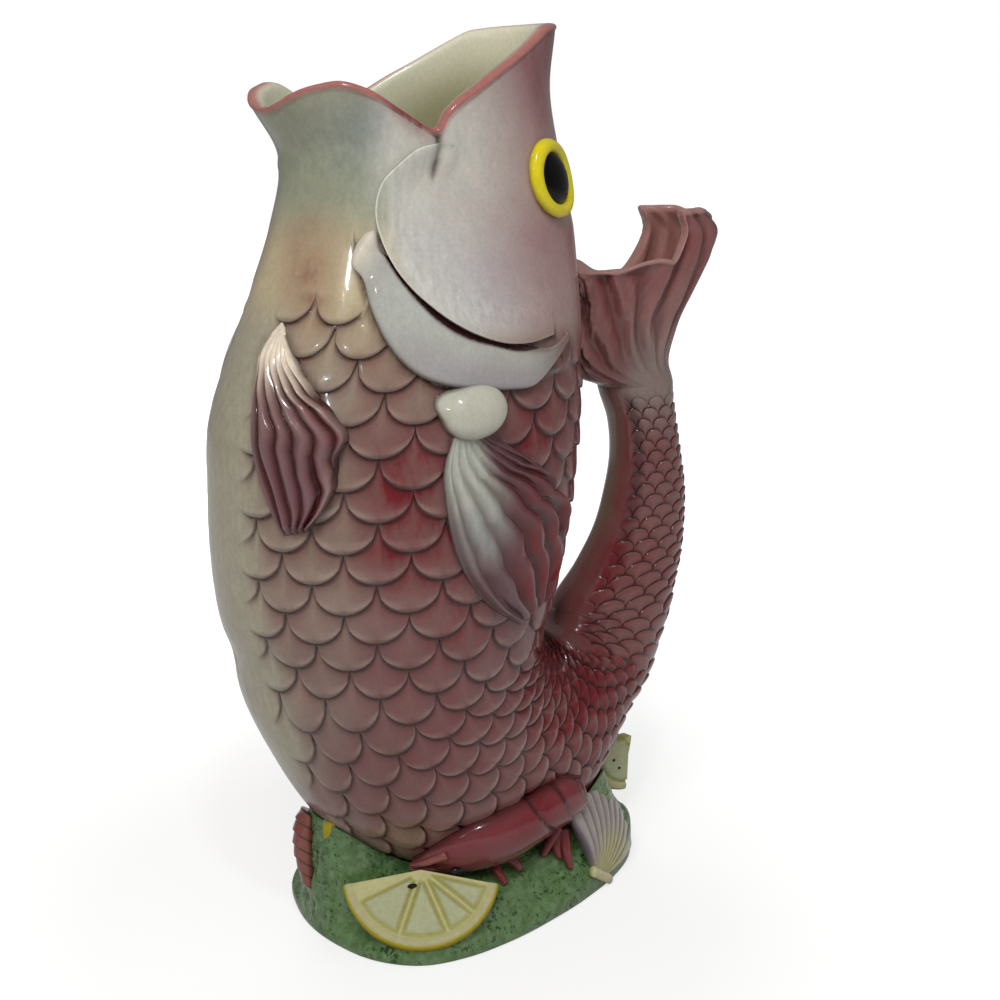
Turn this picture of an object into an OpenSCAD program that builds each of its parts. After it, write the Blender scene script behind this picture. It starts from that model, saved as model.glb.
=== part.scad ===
// Fish pitcher standing on its tail root, mouth up, on a mound with trimmings.
// Millimetres, +Z up, foot on z = 0. The belly faces -X and the handle is at +X.
// The body is a chain of rings: level rings from the mouth down to the crotch
// of the handle, then rings on planes that fan about the crotch.

/* [Body] */
// height from the foot to the tip of the upper jaw
pitcher_h = 334; // [300:1:360]
// reach of the belly in front of the body's axis
belly_reach = 71.4; // [66:0.2:76]
// reach of the back behind the body's axis
back_reach = 71; // [67:0.2:73]
// half the greatest width across the flanks
half_w = 56.5; // [52:0.5:61]
// thickness of the cast wall
wall_t = 5; // [3.5:0.1:6]
// distance of the handle's crotch behind the body's axis
crotch_x = 62; // [59:0.5:64]
// height of the fish's underside over the foot
under_h = 14.5; // [11:0.5:19]
// largest distance of the fish's underside from the crotch
fan_reach = 128; // [122:0.5:131]
// how far the pouring lip and the jaw tip stand over the notch of the mouth
mouth_rise = 37; // [30:0.5:42]

/* [Scales] */
// depth of the recess under the free edge of a scale
scale_relief = 1.6; // [0.8:0.1:2.2]
// how far up a scale's round edge runs, as a share of the row spacing
scallop_share = 0.85; // [0.6:0.01:0.9]
// rows of scales between the gills and the crotch
level_rows = 9; // [8:1:11]
// rows of scales that fan about the crotch
fan_rows = 12; // [10:1:14]
// depth of the recess under the free edge of a scale on the handle
handle_relief = 1; // [0.5:0.1:1.4]
// rows of scales up the handle
handle_rows = 10; // [8:1:12]

/* [Handle and tail fin] */
// height of the seam between the handle and the tail fin
seam_h = 197; // [192:0.5:204]
// reach of the handle's outer side behind the axis
handle_reach = 132; // [129:0.5:138]
// clear depth between the back and the handle at its widest
finger_gap = 27; // [24:0.5:29]
// half the width of the handle at the seam
handle_half_w = 12; // [11:0.2:14]
// height of the tail fin's lobe over the seam
lobe_h = 69; // [62:0.5:74]
// height of the tail fin's low near edge over the seam
web_h = 46; // [40:0.5:52]
// reach of the tail fin's lobe behind the axis
lobe_reach = 147.5; // [142:0.5:154]
// depth of the flutes in the tail fin
flute_d = 1.2; // [0.6:0.1:1.8]

/* [Gills and fins] */
// clearance of a luted piece over the skin that carries it
seat_gap = 0.3; // [0.2:0.05:0.35]
// thickness of the gill cover at its free edge
cover_t = 3; // [2:0.1:4]
// thickness of the gill band
band_t = 2.4; // [1.6:0.1:3.2]
// width of the gill band
band_w = 11.5; // [9:0.25:12.5]
// height of the fin root dome
root_t = 7; // [5:0.25:9]
// length of the fin root dome
root_len = 27; // [23:0.5:28]
// thickness of the pectoral fin between its flutes
pectoral_t = 3.6; // [2.8:0.1:5]
// thickness of the pelvic fin between its flutes
pelvic_t = 4.6; // [3.4:0.1:6]
// depth of the flutes in the fins
fin_flute_d = 1.6; // [0.8:0.1:2]

/* [Eyes] */
// outer diameter of the ring round an eye
eye_d = 27; // [24:0.5:29]
// diameter of the pupil
pupil_d = 19; // [16:0.5:21]
// height of the ring over the skin
eye_t = 3.4; // [2.4:0.1:4.5]
// height of the pupil's dome over the skin
pupil_t = 5.6; // [4:0.1:6.5]

/* [Base] */
// reach of the foot behind the middle of the base
foot_reach = 86; // [80:0.5:90]
// height of the upright edge round the foot
foot_edge = 4; // [3:0.25:6]
// diameter of the recess under the foot
recess_d = 54; // [40:1:66]
// depth of the recess under the foot
recess_depth = 5; // [2:0.25:7]
// radius of a lemon slice
lemon_r = 29.5; // [26:0.5:31]
// thickness of a lemon slice
lemon_t = 5; // [4:0.25:6]
// radius of the lemon wedge under the tail
wedge_r = 24; // [21:0.5:25]
// thickness of the lemon wedge
wedge_t = 5; // [4:0.25:6]
// length of the scallop from hinge to rim
scallop_len = 35; // [30:0.5:36]
// height of the scallop's dome
scallop_t = 6; // [4:0.25:7]
// how far the prawn stands out from the fish
prawn_t = 11; // [8:0.25:12]

/* [View] */
// which piece to show

/* [Hidden] */
// columns of the mesh round the body, the handle and the tail fin
scale_cols = 64;
handle_scale_cols = 28;
fin_cols = 48;
slope_angle = 30;

// middle of the base behind the axis, as a share of the foot's reach
base_x = foot_reach * 0.28;
// reach of the belly, of the back and half width of the level rings, from the
// crotch up to the jaw tip, as shares of the three sizes above
belly_shares = [0.93, 1.004, 1.032, 1.029, 1.012, 0.906, 0.765, 0.65, 0.599, 0.76, 0.6];
back_shares = [0.775, 0.857, 0.932, 0.979, 1.014, 1.01, 0.992, 0.963, 0.897, 0.838, 0.87];
width_shares = [0.91, 0.972, 0.995, 1.0, 0.975, 0.915, 0.835, 0.752, 0.692, 0.672, 0.637];
// inner reach, outer reach and half width of the fan rings, every eighteen
// degrees from the front round to the handle
fan_in_shares = [0.063, 0.057, 0.052, 0.047, 0.044, 0.043, 0.044, 0.048, 0.055, 0.06, 0.063];
fan_out_shares = [1, 0.946, 0.916, 0.867, 0.762, 0.707, 0.585, 0.503, 0.494, 0.491, 0.525];
fan_w_shares = [0.905, 0.854, 0.795, 0.727, 0.655, 0.589, 0.522, 0.457, 0.406, 0.359, 0.319];
// inner side, outer side and half width of the level rings up the handle
grip_in_shares = [0, 0.423, 0.755, 0.933, 1.033, 0.982, 0.78];
grip_out_shares = [0.98, 1.008, 1.02, 1.018, 0.996, 0.973, 0.954];
grip_w_shares = [1.5, 1.33, 1.18, 1.1, 1.05, 1.02, 1];
// height of the handle's crotch, from the lowest point of the fan under it
lowest_share = max([for (swing = [40 : 4 : 80]) along(fan_out_shares, swing / 180) * sin(swing)]);
crotch_h = under_h + fan_reach * lowest_share;
// level where the scales begin under the gills
top_row_z = crotch_h + (pitcher_h - crotch_h) * 0.615;
// height of the mouth's rim over its notch, from the jaw tip round to the lip
rim_shares = [
    1, 0.998, 0.995, 0.99, 0.982, 0.967, 0.94, 0.857, 0.752, 0.638, 0.527, 0.41, 0.305,
    0.183, 0.035, 0.17, 0.325, 0.405, 0.438, 0.414, 0.374, 0.318, 0.262, 0.226, 0.212
];

function mix(a, b, t) = a + (b - a) * t;
function clamp(t) = max(0, min(1, t));
function ease(t) = let(c = clamp(t)) c * c * (3 - 2 * c);
// smooth curve through evenly spaced values
function along(list, t) =
    let(last = len(list) - 1)
    let(x = clamp(t) * last)
    let(i = min(floor(x), last - 1))
    let(f = x - i)
    let(a = list[max(i - 1, 0)])
    let(b = list[i])
    let(c = list[i + 1])
    let(d = list[min(i + 2, last)])
    b + f / 2 * ((c - a) + f * ((2 * a - 5 * b + 4 * c - d) + f * (3 * (b - c) + d - a)));
function fold(turn) = abs((turn + 540) % 360 - 180);

// point of a level body ring, set out from the skin by the given amount
function level_point(turn, z, out) =
    let(t = (z - crotch_h) / (pitcher_h - crotch_h))
    let(front = belly_reach * along(belly_shares, t))
    let(back = back_reach * along(back_shares, t))
    let(side = half_w * along(width_shares, t))
    let(mid = (back - front) / 2)
    [mid + ((back + front) / 2 + out) * cos(turn), (side + out) * sin(turn), z];

// point of a body ring on a plane that fans about the crotch
function fan_point(turn, swing, out) =
    let(t = swing / 180)
    let(near = fan_reach * along(fan_in_shares, t))
    let(far = fan_reach * along(fan_out_shares, t))
    let(side = half_w * along(fan_w_shares, t))
    let(away = (near + far) / 2 - ((far - near) / 2 + out) * cos(turn))
    [crotch_x - away * cos(swing), (side + out) * sin(turn), crotch_h - away * sin(swing)];

// swing of the seam between the body and the handle
joint_angle = 146;
rows = level_rows + fan_rows;
// point of the skin at a row count down from the gills
function skin(turn, row, out) =
    row <= level_rows
    ? level_point(turn, mix(top_row_z, crotch_h, row / level_rows), out)
    : fan_point(turn, joint_angle * (row - level_rows) / fan_rows, out);

rim_low = pitcher_h - mouth_rise;
function rim_z(turn) = rim_low + mouth_rise * along(rim_shares, fold(turn) / 180);

// lower edge of the gills round the body, where the scales may begin
gill_drop_shares = [0.33, 0.34, 0.36, 0.41, 0.43, 0.42, 0.36, 0.24, 0.13, 0.06, 0.05, 0.05];
function gill_z(turn) = top_row_z * (1 - 0.32 * along(gill_drop_shares, fold(turn) / 180));

// how fully the scales stand out at a place of the skin
function scale_mask(turn, row) =
    let(z = mix(top_row_z, crotch_h, row / level_rows))
    let(swing = joint_angle * (row - level_rows) / fan_rows)
    let(belly = ease((180 - fold(turn) - 15) / 9 + max(0, swing - 60) / 20))
    let(grip = ease(fold(turn) / 30 + 1 - max(0, swing - 60) / 30))
    clamp((gill_z(turn) - z) / crotch_h * 36) * belly * grip;

scale_step = 320 / scale_cols;
body_turns = concat([for (k = [0 : scale_cols]) k * scale_step - 160], [170, 180, 190]);
body_cols = len(body_turns);
// round free edge: zero where two scales meet, one at the tip of a scale
function arch(k, cols, shift) =
    k > cols ? 0.5 : let(x = ((k + 2 * shift) % 4) / 2 - 1) sqrt(1 - x * x);

function edge_ring(n, under) =
    [for (k = [0 : body_cols - 1])
        let(row = n - scallop_share * (1 - arch(k, scale_cols, n)) + under * 0.04)
        let(mask = under < 0 ? 0 : scale_mask(body_turns[k], row))
        skin(body_turns[k], row, -scale_relief * mask)];

function flat_ring(row, out) = [for (turn = body_turns) skin(turn, row, out)];
function head_ring(t, out) =
    [for (turn = body_turns) level_point(turn, mix(top_row_z, rim_z(turn), t), out)];

function half_turns() = [for (k = [0 : 2 : body_cols - 1]) body_turns[k]];
function inner_head_ring(t) =
    [for (turn = half_turns()) level_point(turn, mix(top_row_z, rim_z(turn), t), -wall_t)];
function inner_level_ring(t) =
    [for (turn = half_turns()) level_point(turn, mix(top_row_z, crotch_h, t), -wall_t)];
function inner_fan_ring(swing, more) =
    [for (turn = half_turns()) fan_point(turn, swing, -wall_t * more)];

// faces between two rings that follow one another, seen from outside
function band_faces(from, to, n) =
    [for (i = [0 : n - 1]) [from + i, to + i, to + (i + 1) % n, from + (i + 1) % n]];
// faces between a ring and the next one with half as many points
function zip_faces(from, to, n) =
    [for (i = [0 : n - 1], j = [0 : 2])
        let(a = from + 2 * i)
        let(b = from + 2 * i + 1)
        let(c = from + (2 * i + 2) % (2 * n))
        let(d = to + i)
        let(e = to + (i + 1) % n)
        j == 0 ? [a, d, b] : j == 1 ? [b, d, e] : [b, e, c]];
function reversed(n, from) = [for (i = [0 : n - 1]) from + n - 1 - i];
function forward(n, from) = [for (i = [0 : n - 1]) from + i];
function flatten(lists) = [for (list = lists) for (item = list) item];

// solid from rings that follow one another, both ends closed flat
module ring_solid(rings) {
    n = len(rings[0]);
    m = len(rings);
    sides = flatten([for (j = [0 : m - 2]) band_faces(j * n, (j + 1) * n, n)]);
    polyhedron(flatten(rings), concat(sides, [forward(n, 0)], [reversed(n, (m - 1) * n)]), 10);
}

// solid from rings that come back to the first one
module loop_solid(rings) {
    n = len(rings[0]);
    m = len(rings);
    polyhedron(flatten(rings), flatten([for (j = [0 : m - 1]) band_faces(j * n, ((j + 1) % m) * n, n)]), 10);
}

// curved slab between an outer and an inner sheet with the same grid
module slab(outer, inner) {
    m = len(outer);
    n = len(outer[0]);
    under = m * n;
    tops = [for (i = [0 : m - 2], j = [0 : n - 2])
        [i * n + j, i * n + j + 1, (i + 1) * n + j + 1, (i + 1) * n + j]];
    lows = [for (i = [0 : m - 2], j = [0 : n - 2])
        [under + i * n + j, under + (i + 1) * n + j, under + (i + 1) * n + j + 1, under + i * n + j + 1]];
    lefts = [for (i = [0 : m - 2]) [i * n, (i + 1) * n, under + (i + 1) * n, under + i * n]];
    rights = [for (i = [0 : m - 2])
        [(i + 1) * n + n - 1, i * n + n - 1, under + i * n + n - 1, under + (i + 1) * n + n - 1]];
    heads = [for (j = [0 : n - 2]) [j + 1, j, under + j, under + j + 1]];
    foot = (m - 1) * n;
    feet = [for (j = [0 : n - 2]) [foot + j, foot + j + 1, under + foot + j + 1, under + foot + j]];
    polyhedron(concat(flatten(outer), flatten(inner)), concat(tops, lows, lefts, rights, heads, feet), 10);
}

// the fish's trunk: scaled outside, open mouth, closed at the tail root
module fish_body() {
    outer = concat(
        [for (t = [1, 0.93, 0.82, 0.7, 0.58, 0.46, 0.34, 0.22, 0.1]) head_ring(t, 0)],
        [flat_ring(0, 0)],
        [for (n = [1 : rows - 1], under = [-1, 1]) edge_ring(n, under)],
        [flat_ring(rows, 0)]);
    lip = [head_ring(1, -wall_t)];
    inner = concat(
        [for (t = [0.88, 0.6, 0.3]) inner_head_ring(t)],
        [for (t = [0, 0.5, 1]) inner_level_ring(t)],
        [for (swing = [22, 45, 66, 84]) inner_fan_ring(swing, 1)],
        [inner_fan_ring(96, 3)]);
    n = body_cols;
    h = n / 2;
    m = len(outer);
    first = m * n + n;
    sides = flatten([for (j = [0 : m - 2]) band_faces(j * n, (j + 1) * n, n)]);
    rim = band_faces(m * n, 0, n);
    zip = [for (f = zip_faces(m * n, first, h)) [f[2], f[1], f[0]]];
    inside = flatten([for (j = [0 : len(inner) - 2])
        [for (f = band_faces(first + j * h, first + (j + 1) * h, h)) [f[3], f[2], f[1], f[0]]]]);
    floor_at = first + (len(inner) - 1) * h;
    color("mistyrose")
    polyhedron(
        concat(flatten(outer), flatten(lip), flatten(inner)),
        concat(sides, rim, zip, inside, [forward(h, floor_at)], [reversed(n, (m - 1) * n)]), 10);
}

// turns round the handle: scaled outside, smooth toward the fingers
grip_step = 280 / handle_scale_cols;
grip_turns = concat([for (k = [0 : handle_scale_cols]) 40 + k * grip_step], [340, 360, 380]);
grip_edge = crotch_x + fan_reach * fan_in_shares[10];
function grip_level(turn, z, out) =
    let(t = (z - crotch_h) / (seam_h - crotch_h))
    let(near = mix(grip_edge, back_reach + finger_gap, along(grip_in_shares, t)))
    let(far = handle_reach * along(grip_out_shares, t))
    let(side = handle_half_w * along(grip_w_shares, t))
    [(near + far) / 2 - ((far - near) / 2 + out) * cos(turn), (side + out) * sin(turn), z];
// point of the handle's skin at a row count up from the body
function grip_skin(turn, row, out) =
    let(lead = 2)
    row < lead
    ? fan_point(turn, mix(joint_angle, 180, row / lead), out)
    : grip_level(turn, mix(crotch_h, seam_h, (row - lead) / (handle_rows - lead)), out);
function grip_ring(n, under) =
    [for (k = [0 : len(grip_turns) - 1])
        let(row = n - scallop_share * (1 - arch(k, handle_scale_cols, n)) + under * 0.05)
        let(turn = grip_turns[k])
        let(mask = under < 0 ? 0 : ease((fold(turn) - 40) / 20) * clamp((handle_rows - row) / 2))
        grip_skin(turn, row, -handle_relief * mask)];
function plain_grip_ring(row, out) = [for (turn = grip_turns) grip_skin(turn, row, out)];

// handle: the tail stem that bends up from the body, with a cup at its top
module tail_handle() {
    n = len(grip_turns);
    outer = concat(
        [plain_grip_ring(0, 0)],
        [for (k = [1 : handle_rows - 1], under = [-1, 1]) grip_ring(k, under)],
        [plain_grip_ring(handle_rows, 0)]);
    bore = [for (row = [1, 0.9]) plain_grip_ring(handle_rows * row, -wall_t)];
    color("rosybrown")
    ring_solid([for (ring = concat(outer, bore)) [for (i = [1 : n]) ring[n - i]]]);
}

// height of the tail fin's edge: lobe behind, lower web beside the nape on both flanks
function fin_edge_share(turn) =
    let(f = fold(turn))
    let(lobe = ease((79 - f) / 16))
    let(dip = 0.15 * ease((32 - f) / 32))
    let(nape = ease((f - 140) / 40))
    let(web = sin(turn) < 0 ? mix(0.05 + 0.15 * ease(1 - abs(f - 90) / 30), 0.25, nape) : mix(-0.09, 0.25, nape))
    mix(web, 1, lobe) - dip;
// outer side of the fin behind the axis, inner side and half width, from the seam up
fin_far_shares = [0, -0.08, -0.04, 0.1, 0.37, 0.65, 0.9, 1, 0.61];
fin_near_shares = [1, 0.6, 0.28, 0.08, 0, 0, 0];
fin_side_shares = [1, 1.06, 1.12, 1.2, 1.26, 1.3, 1.28];
fin_turns = [for (k = [0 : fin_cols - 1]) k * 360 / fin_cols];
function fin_top(turn) = seam_h + mix(web_h, lobe_h, fin_edge_share(turn));
function back_x(z) = back_reach * along(back_shares, (z - crotch_h) / (pitcher_h - crotch_h));
function fin_point(turn, t, out) =
    let(z = mix(seam_h, fin_top(turn), t))
    let(rise = (z - seam_h) / lobe_h)
    let(seam_near = mix(grip_edge, back_reach + finger_gap, grip_in_shares[6]))
    let(nape = back_x(z) + seat_gap - out)
    let(near = mix(nape, seam_near, along(fin_near_shares, min(1, rise * 4))))
    let(far = mix(handle_reach * grip_out_shares[6], lobe_reach, along(fin_far_shares, rise)))
    let(side = handle_half_w * along(fin_side_shares, rise))
    let(flute = flute_d * ease(rise * 3) * abs(sin(turn)) * cos(turn * 12))
    let(c = cos(turn))
    let(s = sin(turn))
    let(square = mix(1, 0.8, ease(rise * 3)))
    let(wide = sign(s) * pow(abs(s), square))
    [(near + far) / 2 + ((far - near) / 2 + out) * c, (side + out + flute) * wide, z];

// fluted tail fin: an open cup on the handle that leans against the nape
module tail_fin() {
    outer = [for (t = [0, 0.06, 0.14, 0.3, 0.5, 0.7, 0.88, 1]) [for (turn = fin_turns) fin_point(turn, t, 0)]];
    inner = [for (t = [1, 0.7, 0.35, 0]) [for (turn = fin_turns) fin_point(turn, t, -wall_t * 0.8)]];
    rings = concat(outer, inner);
    color("indianred")
    loop_solid([for (ring = rings) [for (i = [1 : fin_cols]) ring[fin_cols - i]]]);
}

// where a luted piece sits: turn from the back round the left flank and level
function level_at(share) = crotch_h + (pitcher_h - crotch_h) * share;
function flank(turn, share, out) = level_point(-turn, level_at(share), out);
// a place near a centre, so many millimetres along the flank and up
function spot(turn, share, side, up, out) =
    let(step = norm(flank(turn + 1, share, 0) - flank(turn, share, 0)))
    level_point(-turn - side / step, level_at(share) + up, out);

// plate over the gills: free lower edge and upper edge that runs into the head
cover_turns = [105, 115, 124, 130.6, 132, 129, 124, 117.6, 110.4, 102.7, 94.2, 84.7, 73.7, 61.8];
cover_levels = [0.822, 0.814, 0.791, 0.764, 0.726, 0.687, 0.651, 0.619, 0.591, 0.566, 0.545, 0.53, 0.525, 0.53];
cover_top_turns = [99, 106, 112, 116, 117.5, 116, 112, 107, 101, 95, 87, 79, 71, 62];
cover_top_levels = [0.818, 0.796, 0.774, 0.752, 0.722, 0.694, 0.668, 0.646, 0.627, 0.612, 0.6, 0.592, 0.586, 0.58];
cover_rows = 14;
module gill_cover() {
    spans = [0, 0.3, 0.62, 0.9, 1];
    heights = [0.25, 0.5, 0.8, 1, 0.7];
    function place(i, s, out) =
        let(t = i / cover_rows)
        flank(mix(along(cover_top_turns, t), along(cover_turns, t), s),
            mix(along(cover_top_levels, t), along(cover_levels, t), s), out);
    slab(
        [for (i = [0 : cover_rows]) [for (k = [0 : 4]) place(i, spans[k], seat_gap + cover_t * heights[k])]],
        [for (i = [0 : cover_rows]) [for (k = [0 : 4]) place(i, spans[k], seat_gap)]]);
}

// crescent of the gill membrane below the cover
band_turns = [134.5, 131.4, 127.2, 121.5, 114.5, 107, 98.5, 89.5, 80, 71.4, 62, 53];
band_levels = [0.7, 0.683, 0.658, 0.626, 0.592, 0.562, 0.539, 0.525, 0.513, 0.513, 0.522, 0.54];
band_low_turns = [138.6, 136, 132.6, 127.5, 120.5, 112, 102.5, 92.2, 82, 73, 63, 50.6];
band_low_levels = [0.678, 0.651, 0.618, 0.577, 0.533, 0.497, 0.477, 0.467, 0.461, 0.461, 0.48, 0.509];
band_rows = 12;
module gill_band() {
    spans = [0, 0.2, 0.7, 1];
    heights = [0.45, 0.8, 1, 0.6];
    function place(i, s, out) =
        let(t = i / band_rows)
        let(wide = s * band_w / 11.5)
        flank(mix(along(band_turns, t), along(band_low_turns, t), wide),
            mix(along(band_levels, t), along(band_low_levels, t), wide), out);
    slab(
        [for (i = [0 : band_rows]) [for (k = [0 : 3]) place(i, spans[k], seat_gap + band_t * heights[k])]],
        [for (i = [0 : band_rows]) [for (k = [0 : 3]) place(i, spans[k], seat_gap)]]);
}

// dome from which the pectoral fin springs
root_angle = 93.5;
root_level_share = 0.4295;
module fin_root() {
    cols = 18;
    function ring(share, out) = [for (k = [0 : cols - 1])
        spot(root_angle, root_level_share, share * root_len / 2 * cos(k * 360 / cols),
            share * root_len * 0.3 * sin(k * 360 / cols), out)];
    ring_solid([ring(0.5, seat_gap), ring(1, seat_gap), ring(1, seat_gap + root_t * 0.25),
        ring(0.8, seat_gap + root_t * 0.72), ring(0.45, seat_gap + root_t)]);
}

// fin as a fluted slab between its front edge and its back edge, thinner in front
module fin(front_turns, front_levels, back_turns, back_levels, thick, flutes, steps, lead_share) {
    cols = flutes * 2;
    function place(i, j, out) =
        let(t = i / steps)
        let(s = j / cols)
        flank(mix(along(front_turns, t), along(back_turns, t), s),
            mix(along(front_levels, t), along(back_levels, t), s), out);
    function height(i, j) =
        let(t = i / steps)
        let(rim = min(1, 0.55 + min(j, cols - j) * 0.3) * mix(lead_share, 1, j / cols))
        seat_gap + (thick - (j % 2 == 0 ? 0 : fin_flute_d) * ease(t * 3 + 0.2)) * rim;
    slab(
        [for (i = [0 : steps]) [for (j = [0 : cols]) place(i, j, height(i, j))]],
        [for (i = [0 : steps]) [for (j = [0 : cols]) place(i, j, seat_gap)]]);
}

// pectoral fin on the flank
module pectoral_fin() {
    fin([101, 101.3, 100.8, 99, 96, 91, 82, 68],
        [0.39, 0.354, 0.309, 0.262, 0.216, 0.171, 0.122, 0.079],
        [86, 79, 70.5, 61.5, 54.8, 53.5, 55, 57.5],
        [0.387, 0.371, 0.338, 0.303, 0.256, 0.205, 0.155, 0.102], pectoral_t, 6, 7, 1);
}

// pelvic fin beside the belly, turned back round the flank by the given angle
module pelvic_fin(back, lead_share) {
    fronts = [164, 167.5, 166, 164, 162, 160, 155, 149];
    backs = [155, 150, 143, 137.8, 132, 133, 134, 141];
    fin([for (turn = fronts) turn - back],
        [0.566, 0.529, 0.491, 0.454, 0.416, 0.381, 0.314, 0.261],
        [for (turn = backs) turn - back],
        [0.549, 0.513, 0.482, 0.456, 0.416, 0.367, 0.327, 0.27], pelvic_t, 5, 7, lead_share);
}

// ring and pupil of an eye
eye_angle = 53.5;
eye_level_share = 0.765;
module eye_ring() {
    cols = 22;
    outside = eye_d / 2;
    inside = pupil_d / 2 + seat_gap;
    middle = (outside + inside) / 2;
    function place(k, r, out) =
        spot(eye_angle, eye_level_share, r * cos(k * 360 / cols), r * sin(k * 360 / cols), out);
    loop_solid([for (k = [0 : cols - 1]) [
        place(k, inside, seat_gap), place(k, inside, seat_gap + eye_t * 0.7),
        place(k, middle, seat_gap + eye_t), place(k, outside, seat_gap + eye_t * 0.45),
        place(k, outside, seat_gap)]]);
}
module pupil() {
    cols = 18;
    function ring(share, out) = [for (k = [0 : cols - 1])
        spot(eye_angle, eye_level_share, share * pupil_d / 2 * cos(k * 360 / cols),
            share * pupil_d / 2 * sin(k * 360 / cols), out)];
    ring_solid([ring(0.5, seat_gap), ring(1, seat_gap), ring(1, seat_gap + pupil_t * 0.45),
        ring(0.72, seat_gap + pupil_t * 0.85), ring(0.35, seat_gap + pupil_t)]);
}

// line where the mound meets the fish, from the belly round to the tail
base_cols = 48;
seat_low_angle = 30;
seat_high_angle = 110;
seat_turn_shares = [0, 0.09, 0.122, 0.161, 0.217, 0.278, 0.289, 0.222, 0];
foot_turns = [180, 171, 160, 138, 98, 56, 34, 17, 0];
foot_shares = [0.97, 0.87, 0.74, 0.64, 0.585, 0.563, 0.575, 0.615, 0.685, 0.762, 0.79, 0.785, 0.785];
function side_of(u) = u > 0 && u < 180 ? 1 : -1;
// place on the fish's underside, share 0 in the middle of the seat and 1 on its edge
function seat_point(u, share) =
    let(swing = mix(68, mix(seat_low_angle, seat_high_angle, (1 - cos(u)) / 2), share))
    let(turn = 180 * along(seat_turn_shares, fold(u) / 180) * share)
    fan_point(180 + side_of(u) * turn, swing, seat_gap * 2.5);
function foot_turn(u) = along(foot_turns, fold(u) / 180);
// the upright edge is three times as high under the tail
function edge_z(u) = foot_edge * (1 + 2 * pow((1 + cos(foot_turn(u))) / 2, 3));
function foot_point(u, z) =
    let(turn = foot_turn(u))
    let(far = foot_reach * along(foot_shares, turn / 180))
    [base_x + far * cos(turn), -side_of(u) * far * sin(turn), z];
// swell of the mound under the near slice
bed_h = lemon_t * 2;
bed_angle = 76;
// place on the mound between the fish and the foot
function mound_point(u, share, out) =
    let(a = seat_point(u, 1))
    let(b = foot_point(u, edge_z(u)))
    let(turn = foot_turn(u))
    let(away = [cos(turn) * 0.8, -side_of(u) * sin(turn) * 0.8, 0.6])
    let(bed = bed_h * ease(1 - abs(u - bed_angle) / 28) * sin(180 * pow(share, 1.3)))
    [mix(a[0], b[0], share), mix(a[1], b[1], share),
        mix(b[2], a[2], pow(1 - share, 1.3))] + away * (out + bed);
mound_turns = [for (k = [0 : base_cols - 1]) (k + 0.5) * 360 / base_cols];

// slice of a round fruit, its cut side along x
module slice(r, t, wedge) {
    lumps = round(wedge / slope_angle);
    rotate([0, 0, 180])
    union() {
        rotate_extrude(angle = wedge)
        polygon([[0, 0], [r - t * 0.3, 0], [r, t * 0.3], [r, t], [r * 0.92, t], [r * 0.89, t * 0.8], [0, t * 0.8]]);
        for (k = [0 : lumps - 1])
            rotate([0, 0, (k + 0.5) * wedge / lumps])
            translate([0, 0, t * 0.6])
            linear_extrude(t * 0.38)
            polygon([[r * 0.2, -r * 0.03], [r * 0.78, -r * 0.17], [r * 0.84, 0], [r * 0.78, r * 0.17], [r * 0.2, r * 0.03]]);
    }
}
// room for a slice in the mound
module slice_room(r, wedge, deep) {
    rotate([0, 0, 180])
    translate([-seat_gap * cos(wedge / 2) / sin(wedge / 2), -seat_gap, -seat_gap])
    rotate_extrude(angle = wedge)
    square([r + seat_gap * 2, deep]);
}
// the fish's underside with the clearance of a luted piece
module underside() {
    ring_solid([for (swing = [10 : 6 : 142]) [for (k = [0 : 35]) fan_point(k * -10, swing, seat_gap * 2)]]);
}
near_slice_angle = 158;
module at_near_slice() {
    translate([foot_reach * -0.121, foot_reach * -0.313, foot_edge * 6.4])
    rotate([43.7, 0, -31])
    rotate([0, 0, 10])
    children();
}
far_slice_r = lemon_r * 0.7;
module at_far_slice() {
    translate(mound_point(16, 0.16, seat_gap * 5))
    rotate([90, 0, 56])
    translate([far_slice_r, far_slice_r * 0.25, 0])
    children();
}
module at_wedge() {
    translate([foot_reach * 1.226, foot_reach * -0.024, wedge_r * 1.91])
    rotate([90, 0, 10])
    rotate([0, 0, -8])
    children();
}
module at_scallop() {
    translate([foot_reach * 0.754, foot_reach * -0.44, foot_edge * 1.05])
    rotate([75.7, 0, 31.8])
    rotate([0, 0, -36])
    children();
}
module scallop_room() {
    at_scallop()
    translate([-scallop_len * 0.9, -scallop_len * 0.1, -seat_gap])
    cube([scallop_len * 2, scallop_len * 1.3, scallop_len]);
}

// rocky mound under the fish, with rooms for the pieces that lie in it
module base_mound() {
    color("seagreen")
    difference() {
        ring_solid(concat(
            [for (share = [0.06, 0.24, 0.42, 0.6, 0.8, 1]) [for (u = mound_turns) seat_point(u, share)]],
            [for (share = [0.2, 0.45, 0.7, 1]) [for (u = mound_turns) mound_point(u, share, 0)]],
            [[for (u = mound_turns) foot_point(u, 0)]]));
        translate([foot_reach * 0.47, 0, -recess_depth])
        cylinder(h = recess_depth * 2, d = recess_d, $fn = 64);
        at_near_slice() slice_room(lemon_r, near_slice_angle, lemon_r);
        at_far_slice() slice_room(far_slice_r, 90, lemon_t + seat_gap * 2);
        at_wedge() slice_room(wedge_r, 90, wedge_r);
        scallop_room();
    }
}
module lemon_slice_near() {
    color("khaki")
    at_near_slice() slice(lemon_r, lemon_t, near_slice_angle);
}
module lemon_slice_far() {
    color("khaki")
    difference() {
        at_far_slice() slice(far_slice_r, lemon_t, 90);
        underside();
    }
}
module lemon_wedge_tail() {
    color("khaki")
    difference() {
        at_wedge() slice(wedge_r, wedge_t, 90);
        underside();
    }
}

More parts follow.
